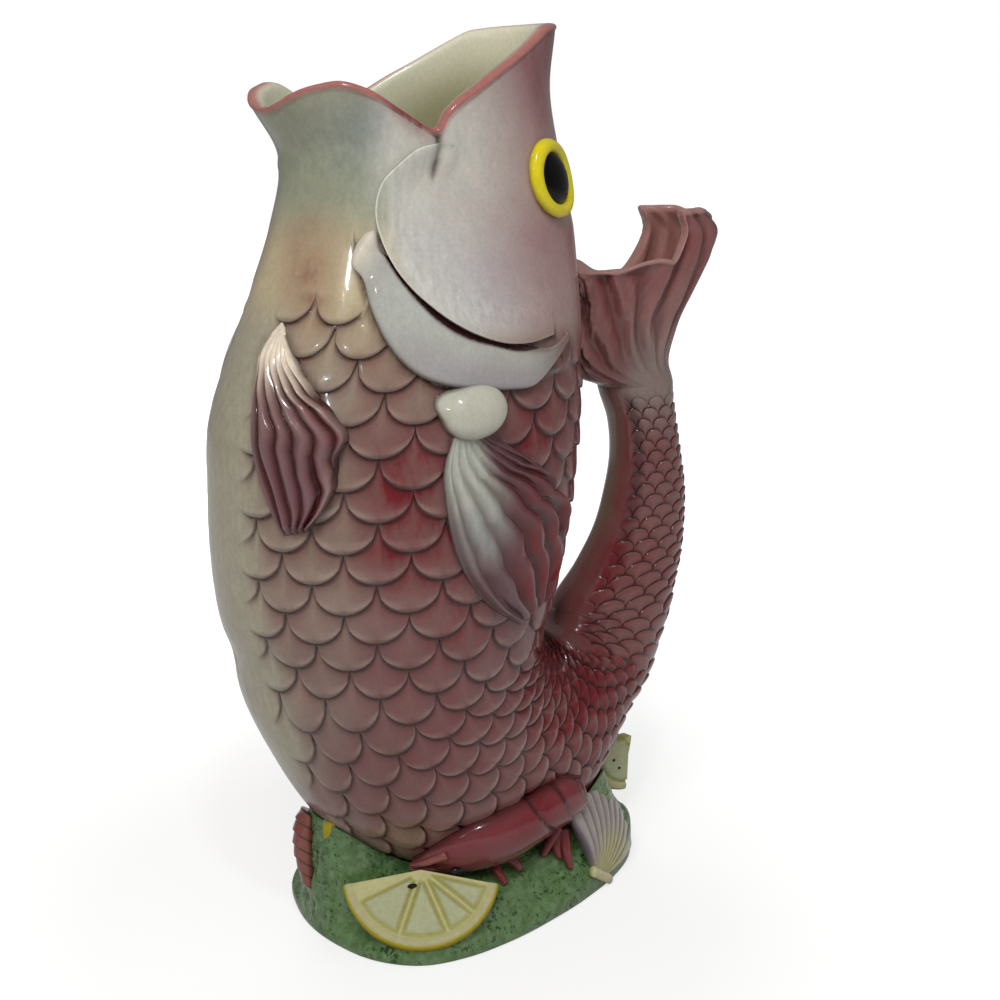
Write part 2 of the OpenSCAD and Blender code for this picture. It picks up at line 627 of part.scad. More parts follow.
// ribbed shell that leans on the mound, hinge down
scallop_ribs = 8;
module scallop_shell() {
    cols = scallop_ribs * 2;
    function place(i, j, lift) =
        let(far = mix(0.14, 1, i / 4) * (1 + (j % 2 == 1 ? 0.03 : 0)))
        let(turn = (j / cols - 0.5) * 112)
        let(z = lift * scallop_t * (0.25 + sin(mix(20, 160, i / 4))) * 0.8 * (j % 2 == 1 ? 1 : 0.82)
            * cos(turn * 0.9))
        [scallop_len * far * sin(turn), scallop_len * far * cos(turn), max(z, 0)];
    color("thistle")
    at_scallop()
    slab(
        [for (i = [0 : 4]) [for (j = [0 : cols]) place(i, j, 1) + [0, 0, seat_gap]]],
        [for (i = [0 : 4]) [for (j = [0 : cols]) place(i, j, 0)]]);
}

// prawn along the fish's left side, head low toward the belly
prawn_swings = [47, 50, 53.5, 58, 64, 71, 79, 87.5];
prawn_turns = [150, 134, 121, 111, 103, 98, 96, 102];
prawn_low_swings = [48, 56, 63, 70, 76, 81.5, 86.5, 90.5];
prawn_low_turns = [153, 147, 140.5, 134.5, 129, 125, 122, 118];
prawn_shares = [0.22, 0.5, 0.8, 1, 1, 0.95, 0.85, 0.6];
prawn_rows = 13;
module prawn_near() {
    cols = 6;
    function place(i, j, out) =
        let(t = i / prawn_rows)
        let(s = j / cols)
        fan_point(-mix(along(prawn_turns, t), along(prawn_low_turns, t), s),
            mix(along(prawn_swings, t), along(prawn_low_swings, t), s), out);
    function height(i, j) =
        seat_gap + prawn_t * along(prawn_shares, i / prawn_rows)
            * max(0.2, sqrt(sin(180 * j / cols))) * (i > 7 && i % 2 == 1 ? 0.88 : 1);
    color("indianred")
    difference() {
        slab(
            [for (i = [0 : prawn_rows]) [for (j = [0 : cols]) place(i, j, height(i, j))]],
            [for (i = [0 : prawn_rows]) [for (j = [0 : cols]) place(i, j, seat_gap)]]);
        scallop_room();
    }
}

// tail of a second prawn that hangs down the front of the mound
module prawn_far() {
    cols = 6;
    steps = 9;
    shares = [0.5, 0.9, 1, 0.95, 0.7, 0.4];
    function place(i, j, out) =
        let(t = i / steps)
        let(narrow = mix(1, 0.6, t))
        mound_point(mix(343, 351, t) + (j / cols - 0.5) * 24 * narrow, mix(0.03, 0.62, t), out);
    function height(i, j) =
        seat_gap * 2 + prawn_t * 0.6 * along(shares, i / steps)
            * max(0.25, sqrt(sin(180 * j / cols))) * (i % 2 == 1 ? 0.86 : 1);
    color("indianred")
    slab(
        [for (i = [0 : steps]) [for (j = [0 : cols]) place(i, j, height(i, j))]],
        [for (i = [0 : steps]) [for (j = [0 : cols]) place(i, j, seat_gap * 2)]]);
}

module gill_cover_left() {
    color("lavenderblush") gill_cover();
}
module gill_cover_right() {
    color("lavenderblush") mirror([0, 1, 0]) gill_cover();
}
module gill_band_left() {
    color("lavender") gill_band();
}
module gill_band_right() {
    color("lavender") mirror([0, 1, 0]) gill_band();
}
module fin_root_left() {
    color("cornsilk") fin_root();
}
module fin_root_right() {
    color("cornsilk") mirror([0, 1, 0]) fin_root();
}
module pectoral_fin_left() {
    color("thistle") pectoral_fin();
}
module pectoral_fin_right() {
    color("thistle") mirror([0, 1, 0]) pectoral_fin();
}
module pelvic_fin_left() {
    color("thistle") pelvic_fin(0, 0.7);
}
module pelvic_fin_right() {
    color("thistle") mirror([0, 1, 0]) pelvic_fin(12, 0.3);
}
module eye_ring_left() {
    color("gold") eye_ring();
}
module eye_ring_right() {
    color("gold") mirror([0, 1, 0]) eye_ring();
}
module pupil_left() {
    color("black") pupil();
}
module pupil_right() {
    color("black") mirror([0, 1, 0]) pupil();
}

fish_body();
tail_handle();
tail_fin();
gill_cover_left();
gill_cover_right();
gill_band_left();
gill_band_right();
fin_root_left();
fin_root_right();
pectoral_fin_left();
pectoral_fin_right();
pelvic_fin_left();
pelvic_fin_right();
eye_ring_left();
eye_ring_right();
pupil_left();
pupil_right();
base_mound();
lemon_slice_near();
lemon_slice_far();
lemon_wedge_tail();
scallop_shell();
prawn_near();
prawn_far();
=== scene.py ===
"""Pitcher in glazed earthenware in the form of a fish that stands on its tail root.

Each piece is a surface over two parameters, worked out in millimetres as whole arrays and
written to its mesh in metres. The fish is measured by a turn round it, 0 at the back and 180
at the belly, and by rows of scales that run down the trunk, fan about the crotch of the
handle and climb the handle to the tail fin. The brushed colours are vertex attributes that
the glaze materials break up with streaks and specks. The dark colour laid in the crevices is
both colour pooled there and painted shade, and a few pale marks are painted highlights.
"""
import math

import bpy
import numpy as np
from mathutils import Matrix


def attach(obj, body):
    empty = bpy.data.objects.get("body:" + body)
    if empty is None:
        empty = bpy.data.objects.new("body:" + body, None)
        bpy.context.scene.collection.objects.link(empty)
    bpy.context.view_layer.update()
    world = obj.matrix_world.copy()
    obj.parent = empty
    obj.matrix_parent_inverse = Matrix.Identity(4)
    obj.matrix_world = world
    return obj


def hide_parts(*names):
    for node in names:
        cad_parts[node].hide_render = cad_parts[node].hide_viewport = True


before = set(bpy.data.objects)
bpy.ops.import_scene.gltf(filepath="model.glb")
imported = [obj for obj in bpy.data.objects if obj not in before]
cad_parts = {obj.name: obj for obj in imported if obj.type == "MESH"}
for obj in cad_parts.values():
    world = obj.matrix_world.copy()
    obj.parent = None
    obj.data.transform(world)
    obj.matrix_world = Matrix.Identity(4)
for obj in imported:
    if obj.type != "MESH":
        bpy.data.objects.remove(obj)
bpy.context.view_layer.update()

MM = 0.001

# Sizes of the fish, in millimetres
pitcher_h = 334.0  # tip of the lower jaw over the table
belly_reach = 71.4  # widest half axis toward the belly
back_reach = 71.0  # widest half axis toward the back
half_w = 56.5  # half the widest breadth
wall_t = 5.0
crotch_x = 62.0  # where the trunk parts from the handle
fan_reach = 128.0  # reach of the swinging rings at the belly
under_h = 14.5  # underside of the fish over the table
mouth_rise = 37.0  # height from the lowest notch of the rim to the jaw tip
seam_h = 197.0  # where the handle ends in the tail fin
handle_reach = 132.0
finger_gap = 27.0  # room for the fingers between back and handle
handle_half_w = 12.0
lobe_h = 69.0  # lobe of the tail fin over the seam
web_h = 46.0  # low web of the tail fin over the seam
lobe_reach = 147.5
seat_gap = 0.3  # slip between two pieces
sunk = 2.8  # how deep a luted piece's back lies in the wall
foot_reach = 86.0  # widest reach of the mound's foot
foot_edge = 4.0
recess_r = 27.0
recess_depth = 5.0
joint_angle = 146.0  # swing at which the trunk's skin ends and the handle's begins

belly_shares = [0.93, 1.004, 1.032, 1.029, 1.012, 0.906, 0.765, 0.65, 0.599, 0.76, 0.6]
back_shares = [0.775, 0.857, 0.932, 0.979, 1.014, 1.01, 0.992, 0.963, 0.897, 0.838, 0.87]
width_shares = [0.91, 0.972, 0.995, 1.0, 0.975, 0.915, 0.835, 0.752, 0.692, 0.672, 0.637]
fan_in_shares = [0.063, 0.057, 0.052, 0.047, 0.044, 0.043, 0.044, 0.048, 0.055, 0.06, 0.063]
fan_out_shares = [1, 0.946, 0.916, 0.867, 0.762, 0.707, 0.585, 0.503, 0.494, 0.491, 0.525]
fan_w_shares = [0.905, 0.854, 0.795, 0.727, 0.655, 0.589, 0.522, 0.457, 0.406, 0.359, 0.319]
grip_in_shares = [0, 0.423, 0.755, 0.933, 1.033, 0.982, 0.78]
grip_out_shares = [0.98, 1.008, 1.02, 1.018, 0.996, 0.973, 0.954]
grip_w_shares = [1.5, 1.33, 1.18, 1.1, 1.05, 1.02, 1]
rim_shares = [1, 0.998, 0.995, 0.99, 0.982, 0.967, 0.94, 0.857, 0.752, 0.638, 0.527, 0.41, 0.305,
              0.183, 0.035, 0.17, 0.325, 0.405, 0.438, 0.414, 0.374, 0.318, 0.262, 0.226, 0.212]
gill_drop_shares = [0.33, 0.34, 0.36, 0.41, 0.43, 0.42, 0.36, 0.24, 0.13, 0.06, 0.05, 0.05]

# Rows and columns of scales
scales_round = 18
level_rows = 13
fan_rows = 20
scale_share = 0.92
scale_rise = 1.6
scale_step = 10 / 7  # turn between two columns of points
grip_scales_round = 12
grip_fan_rows = 5
grip_level_rows = 20
grip_rise = 1.0
grip_columns = 14  # columns of points across one small scale
grip_crowding = 14  # largest turn by which a column is drawn outward


def along(values, t):
    """Smooth curve through evenly spaced values: a Catmull-Rom spline, t from 0 to 1."""
    values = np.asarray(values, float)
    last = len(values) - 1
    x = np.clip(t, 0, 1) * last
    i = np.minimum(np.floor(x), last - 1).astype(int)
    f = x - i
    a, b = values[np.maximum(i - 1, 0)], values[i]
    c, d = values[i + 1], values[np.minimum(i + 2, last)]
    return b + f / 2 * ((c - a) + f * ((2 * a - 5 * b + 4 * c - d) + f * (3 * (b - c) + d - a)))


def mix(a, b, t):
    """Straight blend from a to b."""
    return a + (b - a) * t


def ease(t):
    """Smooth step from 0 to 1."""
    t = np.clip(t, 0, 1)
    return t * t * (3 - 2 * t)


def fade(value, start, end):
    """Smooth step of a value: 0 at the start, 1 at the end, which may lie on either side of it."""
    return ease((value - start) / (end - start))


def bell(x):
    """Bell curve: 1 at 0, gone at two and a half."""
    return np.exp(-x * x)


def arch(x):
    """Half circle over -1 to 1: 1 in the middle, 0 at both ends."""
    return np.sqrt(np.maximum(1 - x * x, 0))


def hump(s):
    """Full round hump over 0 to 1: the root of a half wave."""
    return np.sqrt(np.maximum(sin(180 * s), 0))


def flutes(phase, power):
    """Row of arches, one for each whole step of the phase: 1 on each, 0 between, rounder for a low power."""
    return 1 - np.abs(2 * (phase % 1) - 1) ** power


def fold(turn):
    """Turn from the back, 0 to 180, on either side."""
    return np.abs((turn + 540) % 360 - 180)


def cos(turn):
    """Cosine of a turn in degrees."""
    return np.cos(np.radians(turn))


def sin(turn):
    """Sine of a turn in degrees."""
    return np.sin(np.radians(turn))


def stack(x, y, z):
    """Points from three arrays of any shapes that fit one another."""
    return np.stack(np.broadcast_arrays(x, y, z), -1)


swings = np.arange(40, 84, 4)
crotch_h = under_h + fan_reach * np.max(along(fan_out_shares, swings / 180) * sin(swings))
top_row_z = crotch_h + (pitcher_h - crotch_h) * 0.615
row_h = (top_row_z - crotch_h) / level_rows
row_swing = joint_angle / fan_rows
rim_low = pitcher_h - mouth_rise


def rim_z(turn):
    """Height of the mouth's rim: from the jaw tip down to the notch and over the lower lip."""
    return rim_low + mouth_rise * along(rim_shares, fold(turn) / 180)


def level_point(turn, z, out):
    """Level ring: two half axes along X and one along Y, each a smooth curve of the height."""
    t = (z - crotch_h) / (pitcher_h - crotch_h)
    front = belly_reach * along(belly_shares, t)
    back = back_reach * along(back_shares, t)
    side = half_w * along(width_shares, t)
    return stack((back - front) / 2 + ((back + front) / 2 + out) * cos(turn), (side + out) * sin(turn), z)


def fan_point(turn, swing, out):
    """Ring on a plane that swings about the crotch: an ellipse between an inner and an outer reach."""
    t = swing / 180
    near = fan_reach * along(fan_in_shares, t)
    far = fan_reach * along(fan_out_shares, t)
    side = half_w * along(fan_w_shares, t)
    away = (near + far) / 2 - ((far - near) / 2 + out) * cos(turn)
    return stack(crotch_x - away * cos(swing), (side + out) * sin(turn), crotch_h - away * sin(swing))


def crease_turn(z):
    """Turn at which the crease under the mouth's corner lies at a height."""
    return mix(105, 111, fade(z, 297, 281))


def crease_share(z):
    """How much of that crease is left: it dies out downward."""
    return fade(z, 279, 285)


def head_relief(turn, z):
    """Modelling of the head: the crease under the mouth's corner with a roll beside it, a soft fold of
    the throat and a shallow groove round the eye, each a bell across its line."""
    side = fold(turn)
    from_crease = side - crease_turn(z)
    crease = -1.7 * bell(from_crease / 1.5) * crease_share(z) * fade(z, 303, 299)
    lip_roll = 1.1 * bell((from_crease + 4.5) / 3.2) * fade(z, 281, 289) * fade(z, 303, 299)
    fold_at = mix(290, 285, fade(side, 142, 158))
    throat = 1.0 * bell((z - fold_at) / 2.0) * bell((side - 150) / 9)
    socket = -0.7 * bell(np.hypot((side - 53) * 0.62, z - 281) / 15.5 - 1) * fade(z, 262, 272)
    return crease + lip_roll + throat + socket


def trunk(turn, row, out):
    """Skin of the trunk by rows: level rings, then rings that fan, blended over three rows."""
    z = top_row_z - row * row_h
    turn, row, out, z = np.broadcast_arrays(turn, row, out, z)
    level = level_point(turn, z, out)
    fan = fan_point(turn, (row - level_rows) * row_swing, out)
    share = ease((row - level_rows + 1.5) / 3)[..., None]
    return mix(level, fan, share)


grip_edge = crotch_x + fan_reach * fan_in_shares[10]


def grip_level(turn, z, out):
    """Level ring of the handle between its inner and its outer side."""
    t = (z - crotch_h) / (seam_h - crotch_h)
    near = mix(grip_edge, back_reach + finger_gap, along(grip_in_shares, t))
    far = handle_reach * along(grip_out_shares, t)
    side = handle_half_w * along(grip_w_shares, t)
    return stack((near + far) / 2 - ((far - near) / 2 + out) * cos(turn), (side + out) * sin(turn), z)


def grip(turn, row, out):
    """Skin of the handle by rows: the end of the fan, then level rings up to the tail fin."""
    swing = mix(joint_angle, 180, row / grip_fan_rows)
    z = mix(crotch_h, seam_h, (row - grip_fan_rows) / grip_level_rows)
    turn, row, out, swing, z = np.broadcast_arrays(turn, row, out, swing, z)
    share = ease((row - grip_fan_rows + 0.8) / 1.6)[..., None]
    return mix(fan_point(turn, swing, out), grip_level(turn, z, out), share)


# Colours, as they look on the pitcher
def glaze_colour(r, g, b):
    """Colour of 0 to 255 parts as linear light."""
    c = np.array([r, g, b]) / 255
    return np.where(c <= 0.04045, c / 12.92, ((c + 0.055) / 1.055) ** 2.4)


scale_edge_highlight = glaze_colour(172, 156, 144)
belly_olive = glaze_colour(150, 144, 126)
jaw_sage = glaze_colour(140, 144, 124)
jaw_blue_shade = glaze_colour(116, 128, 132)
cheek_white = glaze_colour(190, 189, 180)
cheek_violet = glaze_colour(164, 158, 170)
brow_mauve = glaze_colour(150, 110, 112)
throat_cream = glaze_colour(180, 166, 134)
scale_taupe = glaze_colour(120, 92, 88)
scale_pale = glaze_colour(140, 130, 114)
plum = glaze_colour(98, 64, 64)
band_blue = glaze_colour(168, 170, 164)
mouth_olive = glaze_colour(150, 147, 114)
mouth_cream = glaze_colour(205, 203, 180)
rim_salmon = glaze_colour(160, 102, 96)
crimson = glaze_colour(104, 24, 30)
line_and_shade_brown = glaze_colour(44, 16, 16)
tail_grey = glaze_colour(128, 116, 110)
tail_plum = glaze_colour(116, 82, 78)
grip_olive = glaze_colour(112, 104, 84)
fin_rose = glaze_colour(134, 98, 94)
seam_ridge_highlight = glaze_colour(168, 128, 122)
edge_pink = glaze_colour(168, 128, 120)
cup_pink = glaze_colour(160, 116, 108)
cover_edge_highlight = glaze_colour(222, 220, 212)
bulb_cream = glaze_colour(204, 196, 182)
band_violet = glaze_colour(150, 146, 154)
root_cream = glaze_colour(176, 176, 162)
pectoral_plum = glaze_colour(94, 62, 66)
pectoral_pale = glaze_colour(168, 170, 160)
pectoral_blue = glaze_colour(132, 136, 138)
pectoral_violet = glaze_colour(102, 80, 88)
pectoral_mauve = glaze_colour(112, 88, 90)
pelvic_taupe = glaze_colour(128, 100, 96)
pelvic_cream = glaze_colour(216, 202, 184)
pelvic_violet = glaze_colour(108, 84, 92)
pelvic_ridge_highlight = glaze_colour(160, 140, 132)
eye_yellow = glaze_colour(206, 190, 22)
eye_line_and_shade = glaze_colour(120, 96, 8)
pupil_black = glaze_colour(5, 5, 5)
moss_green = glaze_colour(76, 102, 60)
moss_deep = glaze_colour(54, 86, 42)
moss_shade = glaze_colour(40, 74, 34)
moss_pale = glaze_colour(120, 124, 96)
moss_light_speck = glaze_colour(108, 134, 96)
moss_dark_speck = glaze_colour(28, 58, 24)
bare_clay = glaze_colour(190, 182, 164)
lemon_flesh = glaze_colour(170, 166, 118)
lemon_pulp = glaze_colour(156, 158, 124)
lemon_skin = glaze_colour(140, 138, 62)
lemon_pith = glaze_colour(160, 156, 116)
lemon_rind = glaze_colour(156, 142, 22)
seed_brown = glaze_colour(22, 20, 16)
shell_sand = glaze_colour(158, 152, 108)
shell_mauve = glaze_colour(132, 120, 126)
shell_rib = glaze_colour(172, 168, 140)
shell_hinge = glaze_colour(176, 170, 128)
shell_line_and_shade = glaze_colour(70, 56, 66)
prawn_red = glaze_colour(114, 62, 66)
prawn_belly = glaze_colour(146, 116, 102)
prawn_beak = glaze_colour(136, 84, 82)
prawn_eye = glaze_colour(10, 8, 8)
prawn_leg = glaze_colour(112, 52, 54)
prawn_brown = glaze_colour(128, 84, 72)


def tint(colour, shape):
    """One colour over an array of points."""
    return np.broadcast_to(colour, shape + (3,)).copy()


def over(paint, colour, amount):
    """Brushes a colour over the paint."""
    return mix(paint, colour, np.clip(amount, 0, 1)[..., None])


def coats(paint, *layers):
    """Brushes one colour after another over the paint, each by its amount."""
    for colour, amount in layers:
        paint = over(paint, colour, amount)
    return paint


def dabs(p, *places):
    """Soft round dabs of the brush added up, the same on both flanks. Each is given by how much it
    leaves in its middle, by its place and by its radius, over which it falls off as a bell."""
    total = 0
    for much, x, y, z, r in places:
        q = np.stack([p[..., 0] - x, np.abs(p[..., 1]) - y, p[..., 2] - z], -1)
        total = total + much * np.exp(-np.sum(q * q, -1) / (r * r))
    return total


def near_line(p, line, width):
    """How near the points are to a line: 1 on it, falling off over the width."""
    best = np.full(p.shape[:-1], 1e9)
    for q in line:
        d = p - q
        best = np.minimum(best, np.einsum("...i,...i->...", d, d))
    return np.exp(-best / (width * width))


# Blue-grey painted shade under the lower lip, and lilac on the low cheek that is partly a painted reflection
jaw_blue_shade_dabs = [(0.8, -18, 34, 301, 11), (0.4, -30, 30, 296, 14)]
cheek_violet_dabs = [(1, 8, 44, 246, 20), (0.5, -14, 42, 262, 10)]
jaw_red_dabs = [(0.14, -8, 38, 278, 14), (0.16, 12, 42, 262, 18), (0.34, -40, 14, 264, 12),
                (0.34, -44, 17, 248, 12), (0.12, -44, 20, 232, 14)]
red_scale_dabs = [(0.34, -31, 51, 181, 9), (0.28, -22, 53, 172, 8), (0.26, -34, 50, 160, 10),
                  (0.24, -27, 51, 193, 9), (0.24, -6, 55, 160, 12), (0.22, 14, 55, 190, 12),
                  (0.16, 34, 44, 116, 16), (0.2, -14, 54, 132, 12)]
moss_pale_dabs = [(0.5, 78, 18, 34, 16)]


def fish_paint(p):
    """Ground colour of the fish's skin by place: sage jaw, pale cheek, mauve brow, olive belly and
    taupe scales, each colour faded in over a span of X, of height or of the distance from the middle.
    The blue-grey under the lower lip is painted shade, and the lilac on the low cheek is partly a
    painted reflection."""
    x, y, z = p[..., 0], np.abs(p[..., 1]), p[..., 2]
    breast = 0.62 * fade(x, -36, -52) * fade(z, 50, 110) + 0.75 * fade(z, 196, 216) * fade(x, 30, -20)
    cheek = fade(x, -32, -18) * fade(z, 222, 236)
    return coats(
        tint(scale_taupe, x.shape),
        (plum, 0.75 * fade(x, 44, 78) * fade(z, 150, 100)),
        (scale_pale, breast),
        (plum, 0.3 * fade(z, 150, 120) * fade(z, 52, 66)),
        (scale_pale, 0.6 * fade(z, 54, 40) * fade(x, 10, -20)),
        (throat_cream, fade(z, 214, 248)),
        (jaw_sage, fade(z, 256, 278) * fade(x, -2, -16)),
        (jaw_blue_shade, dabs(p, *jaw_blue_shade_dabs)),
        (cheek_white, cheek),
        (cheek_violet, 0.5 * cheek * dabs(p, *cheek_violet_dabs)),
        (brow_mauve, cheek * fade(x, -4, 44) * (0.75 + 0.25 * fade(z, 290, 320))),
        (belly_olive, fade(x, -42, -56) * fade(y, 30, 16) * fade(z, 250, 226)))


def fish_wash(p):
    """How much crimson is brushed over the skin by place: the flanks, the tail, the brow and the nose
    by fades, the jaw, the throat and the red scales by dabs, and little of it all on the belly."""
    x, y, z = p[..., 0], np.abs(p[..., 1]), p[..., 2]
    flank = 0.14 + 0.18 * fade(x, -50, -10) + 0.2 * fade(x, 14, 50)
    flank = flank * mix(0.6, 1, fade(z, 30, 90)) * ease((y - 14) / 10 + fade(x, 10, 40))
    tail = 0.1 * fade(x, 52, 92) * fade(z, 230, 210)
    brow = 0.26 * fade(x, -2, 38) * fade(z, 230, 260)
    nose = 0.16 * fade(x, 16, 46) * fade(z, 285, 315)
    belly = fade(x, -44, -58) * fade(y, 24, 12)
    wash = flank * (1 - fade(z, 222, 242)) + tail + brow + nose
    wash = wash + dabs(p, *jaw_red_dabs) + dabs(p, *red_scale_dabs) * fade(z, 206, 192)
    return wash * (1 - 0.85 * belly * (1 - fade(z, 236, 250)))


# Meshes
def ring_quads(rows, cols, wrap_cols=True, wrap_rows=False):
    """Faces of a grid of rings, seen from the side on which the columns run to the left."""
    i = np.arange(rows if wrap_rows else rows - 1)[:, None]
    j = np.arange(cols if wrap_cols else cols - 1)[None, :]
    k, n = (i + 1) % rows, (j + 1) % cols
    quads = np.stack(np.broadcast_arrays(i * cols + j, k * cols + j, k * cols + n, i * cols + n), -1)
    return quads.reshape(-1, 4)


class Clay:
    """Gathers the surfaces of one piece with their paint, their crimson wash and their dark colour in
    recesses, which is both pooled colour and painted shade.
    """

    def __init__(self):
        self.points, self.faces, self.paint, self.wash, self.crevice, self.count = [], [], [], [], [], 0

    def add(self, points, faces, paint, wash, crevice):
        """Adds points with their faces; one value of paint, wash or pooled colour and shade may stand for
        them all.
        """
        flat = points.reshape(-1, 3)
        shape = points.shape[:-1]
        self.points.append(flat)
        self.paint.append(np.broadcast_to(paint, shape + (3,)).reshape(-1, 3))
        self.wash.append(np.broadcast_to(wash, shape).reshape(-1))
        self.crevice.append(np.broadcast_to(crevice, shape).reshape(-1))
        self.faces += (np.asarray(faces) + self.count).tolist()
        self.count += len(flat)

    def rings(self, points, paint, wash=0.0, crevice=0.0, flip=False):
        """Closed rings that follow one another, each end closed by a fan about its middle."""
        rows, cols = points.shape[:2]
        shape = points.shape[:-1]
        paint = np.broadcast_to(paint, shape + (3,))
        wash, crevice = np.broadcast_to(wash, shape), np.broadcast_to(crevice, shape)
        first = self.count
        faces = ring_quads(rows, cols)
        self.add(points, faces[:, ::-1] if flip else faces, paint, wash, crevice)
        j = np.arange(cols)
        for end in (0, rows - 1):
            a, b = first + end * cols + j, first + end * cols + (j + 1) % cols
            if (end == 0) == flip:
                a, b = b, a
            middle = np.full(cols, self.count)
            self.points.append(points[end].mean(0)[None])
            self.paint.append(paint[end].mean(0)[None])
            self.wash.append(wash[end].mean(keepdims=True))
            self.crevice.append(crevice[end].mean(keepdims=True))
            self.faces += np.stack([middle, a, b], -1).tolist()
            self.count += 1

    def slab(self, outer, inner, paint, wash=0.0, crevice=0.0, flip=False):
        """Sheet with a back: two grids of the same size joined round their borders."""
        rows, cols = outer.shape[:2]
        top = ring_quads(rows, cols, wrap_cols=False)
        back = top[:, ::-1] + rows * cols
        i, j = np.arange(rows), np.arange(cols)
        right, bottom, left = i[1:] * cols + cols - 1, (rows - 1) * cols + j[::-1][1:], i[::-1][1:-1] * cols
        loop = np.concatenate([j, right, bottom, left])
        following = np.roll(loop, -1)
        border = np.stack([following + rows * cols, loop + rows * cols, loop, following], -1)
        faces = np.concatenate([top, back, border])
        shape = outer.shape[:-1]
        both = lambda value, tail=(): np.stack([np.broadcast_to(value, shape + tail)] * 2)
        self.add(np.stack([outer, inner]), faces if flip else faces[:, ::-1],
                 both(paint, (3,)), both(wash), both(crevice))


def write_values(mesh, name, kind, values):
    """Writes one vertex attribute."""
    attribute = mesh.attributes.new(name, kind, "POINT")
    field = "color" if kind == "FLOAT_COLOR" else "value"
    attribute.data.foreach_set(field, values.astype(np.float32).ravel())


def fire(name, clay, material, slot, *nodes):
    """Makes the finished piece from its clay and sets it in place of its node."""
    mesh = bpy.data.meshes.new(name)
    points = np.concatenate(clay.points) * MM
    mesh.from_pydata(points, [], clay.faces)
    mesh.polygons.foreach_set("use_smooth", np.ones(len(mesh.polygons), bool))
    paint = np.concatenate(clay.paint)
    write_values(mesh, "paint", "FLOAT_COLOR", np.concatenate([paint, np.ones((len(paint), 1))], 1))
    write_values(mesh, "wash", "FLOAT", np.concatenate(clay.wash))
    write_values(mesh, "crevice", "FLOAT", np.concatenate(clay.crevice))
    mesh.update()
    piece = bpy.data.objects.new(name, mesh)
    bpy.context.scene.collection.objects.link(piece)
    piece.data.materials.append(material)
    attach(piece, "root")
    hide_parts(*nodes)


# Glazes
def node(tree, kind, **values):
    """Adds a shader node, with inputs by name and settings by attribute."""
    made = tree.nodes.new(kind)
    for key, value in values.items():
        if key in made.inputs:
            made.inputs[key].default_value = value
        else:
            setattr(made, key, value)
    return made


def noise(tree, place, scale, detail, stretch=(1, 1, 1), rough=0.55):
    """Noise on the object's own coordinates, stretched along the brush."""
    mapping = node(tree, "ShaderNodeMapping")
    mapping.inputs["Scale"].default_value = stretch
    tree.links.new(place, mapping.inputs["Vector"])
    made = node(tree, "ShaderNodeTexNoise", Scale=scale, Detail=detail, Roughness=rough)
    tree.links.new(mapping.outputs[0], made.inputs["Vector"])
    return made.outputs["Fac"]


def remap(tree, value, low, high, to_low=0.0, to_high=1.0):
    """Stretches a value between two marks."""
    made = node(tree, "ShaderNodeMapRange")
    made.inputs["From Min"].default_value = low
    made.inputs["From Max"].default_value = high
    made.inputs["To Min"].default_value = to_low
    made.inputs["To Max"].default_value = to_high
    tree.links.new(value, made.inputs["Value"])
    return made.outputs[0]


def times(tree, a, b, kind="MULTIPLY"):
    """Product of two sockets or numbers, or another sum of them by its kind."""
    made = node(tree, "ShaderNodeMath", operation=kind)
    for socket, value in zip(made.inputs, (a, b)):
        if isinstance(value, (int, float)):
            socket.default_value = value
        else:
            tree.links.new(value, socket)
    return made.outputs[0]


def blend_colour(tree, amount, a, b, kind="MIX"):
    """Colour a with colour b over it by an amount; each is a socket or a value."""
    made = node(tree, "ShaderNodeMix", data_type="RGBA", blend_type=kind, clamp_factor=True)
    for socket, value in ((made.inputs[0], amount), (made.inputs[6], a), (made.inputs[7], b)):
        if isinstance(value, bpy.types.NodeSocket):
            tree.links.new(value, socket)
        elif isinstance(value, (int, float)):
            socket.default_value = value
        else:
            socket.default_value = (*value, 1)
    return made.outputs[2]


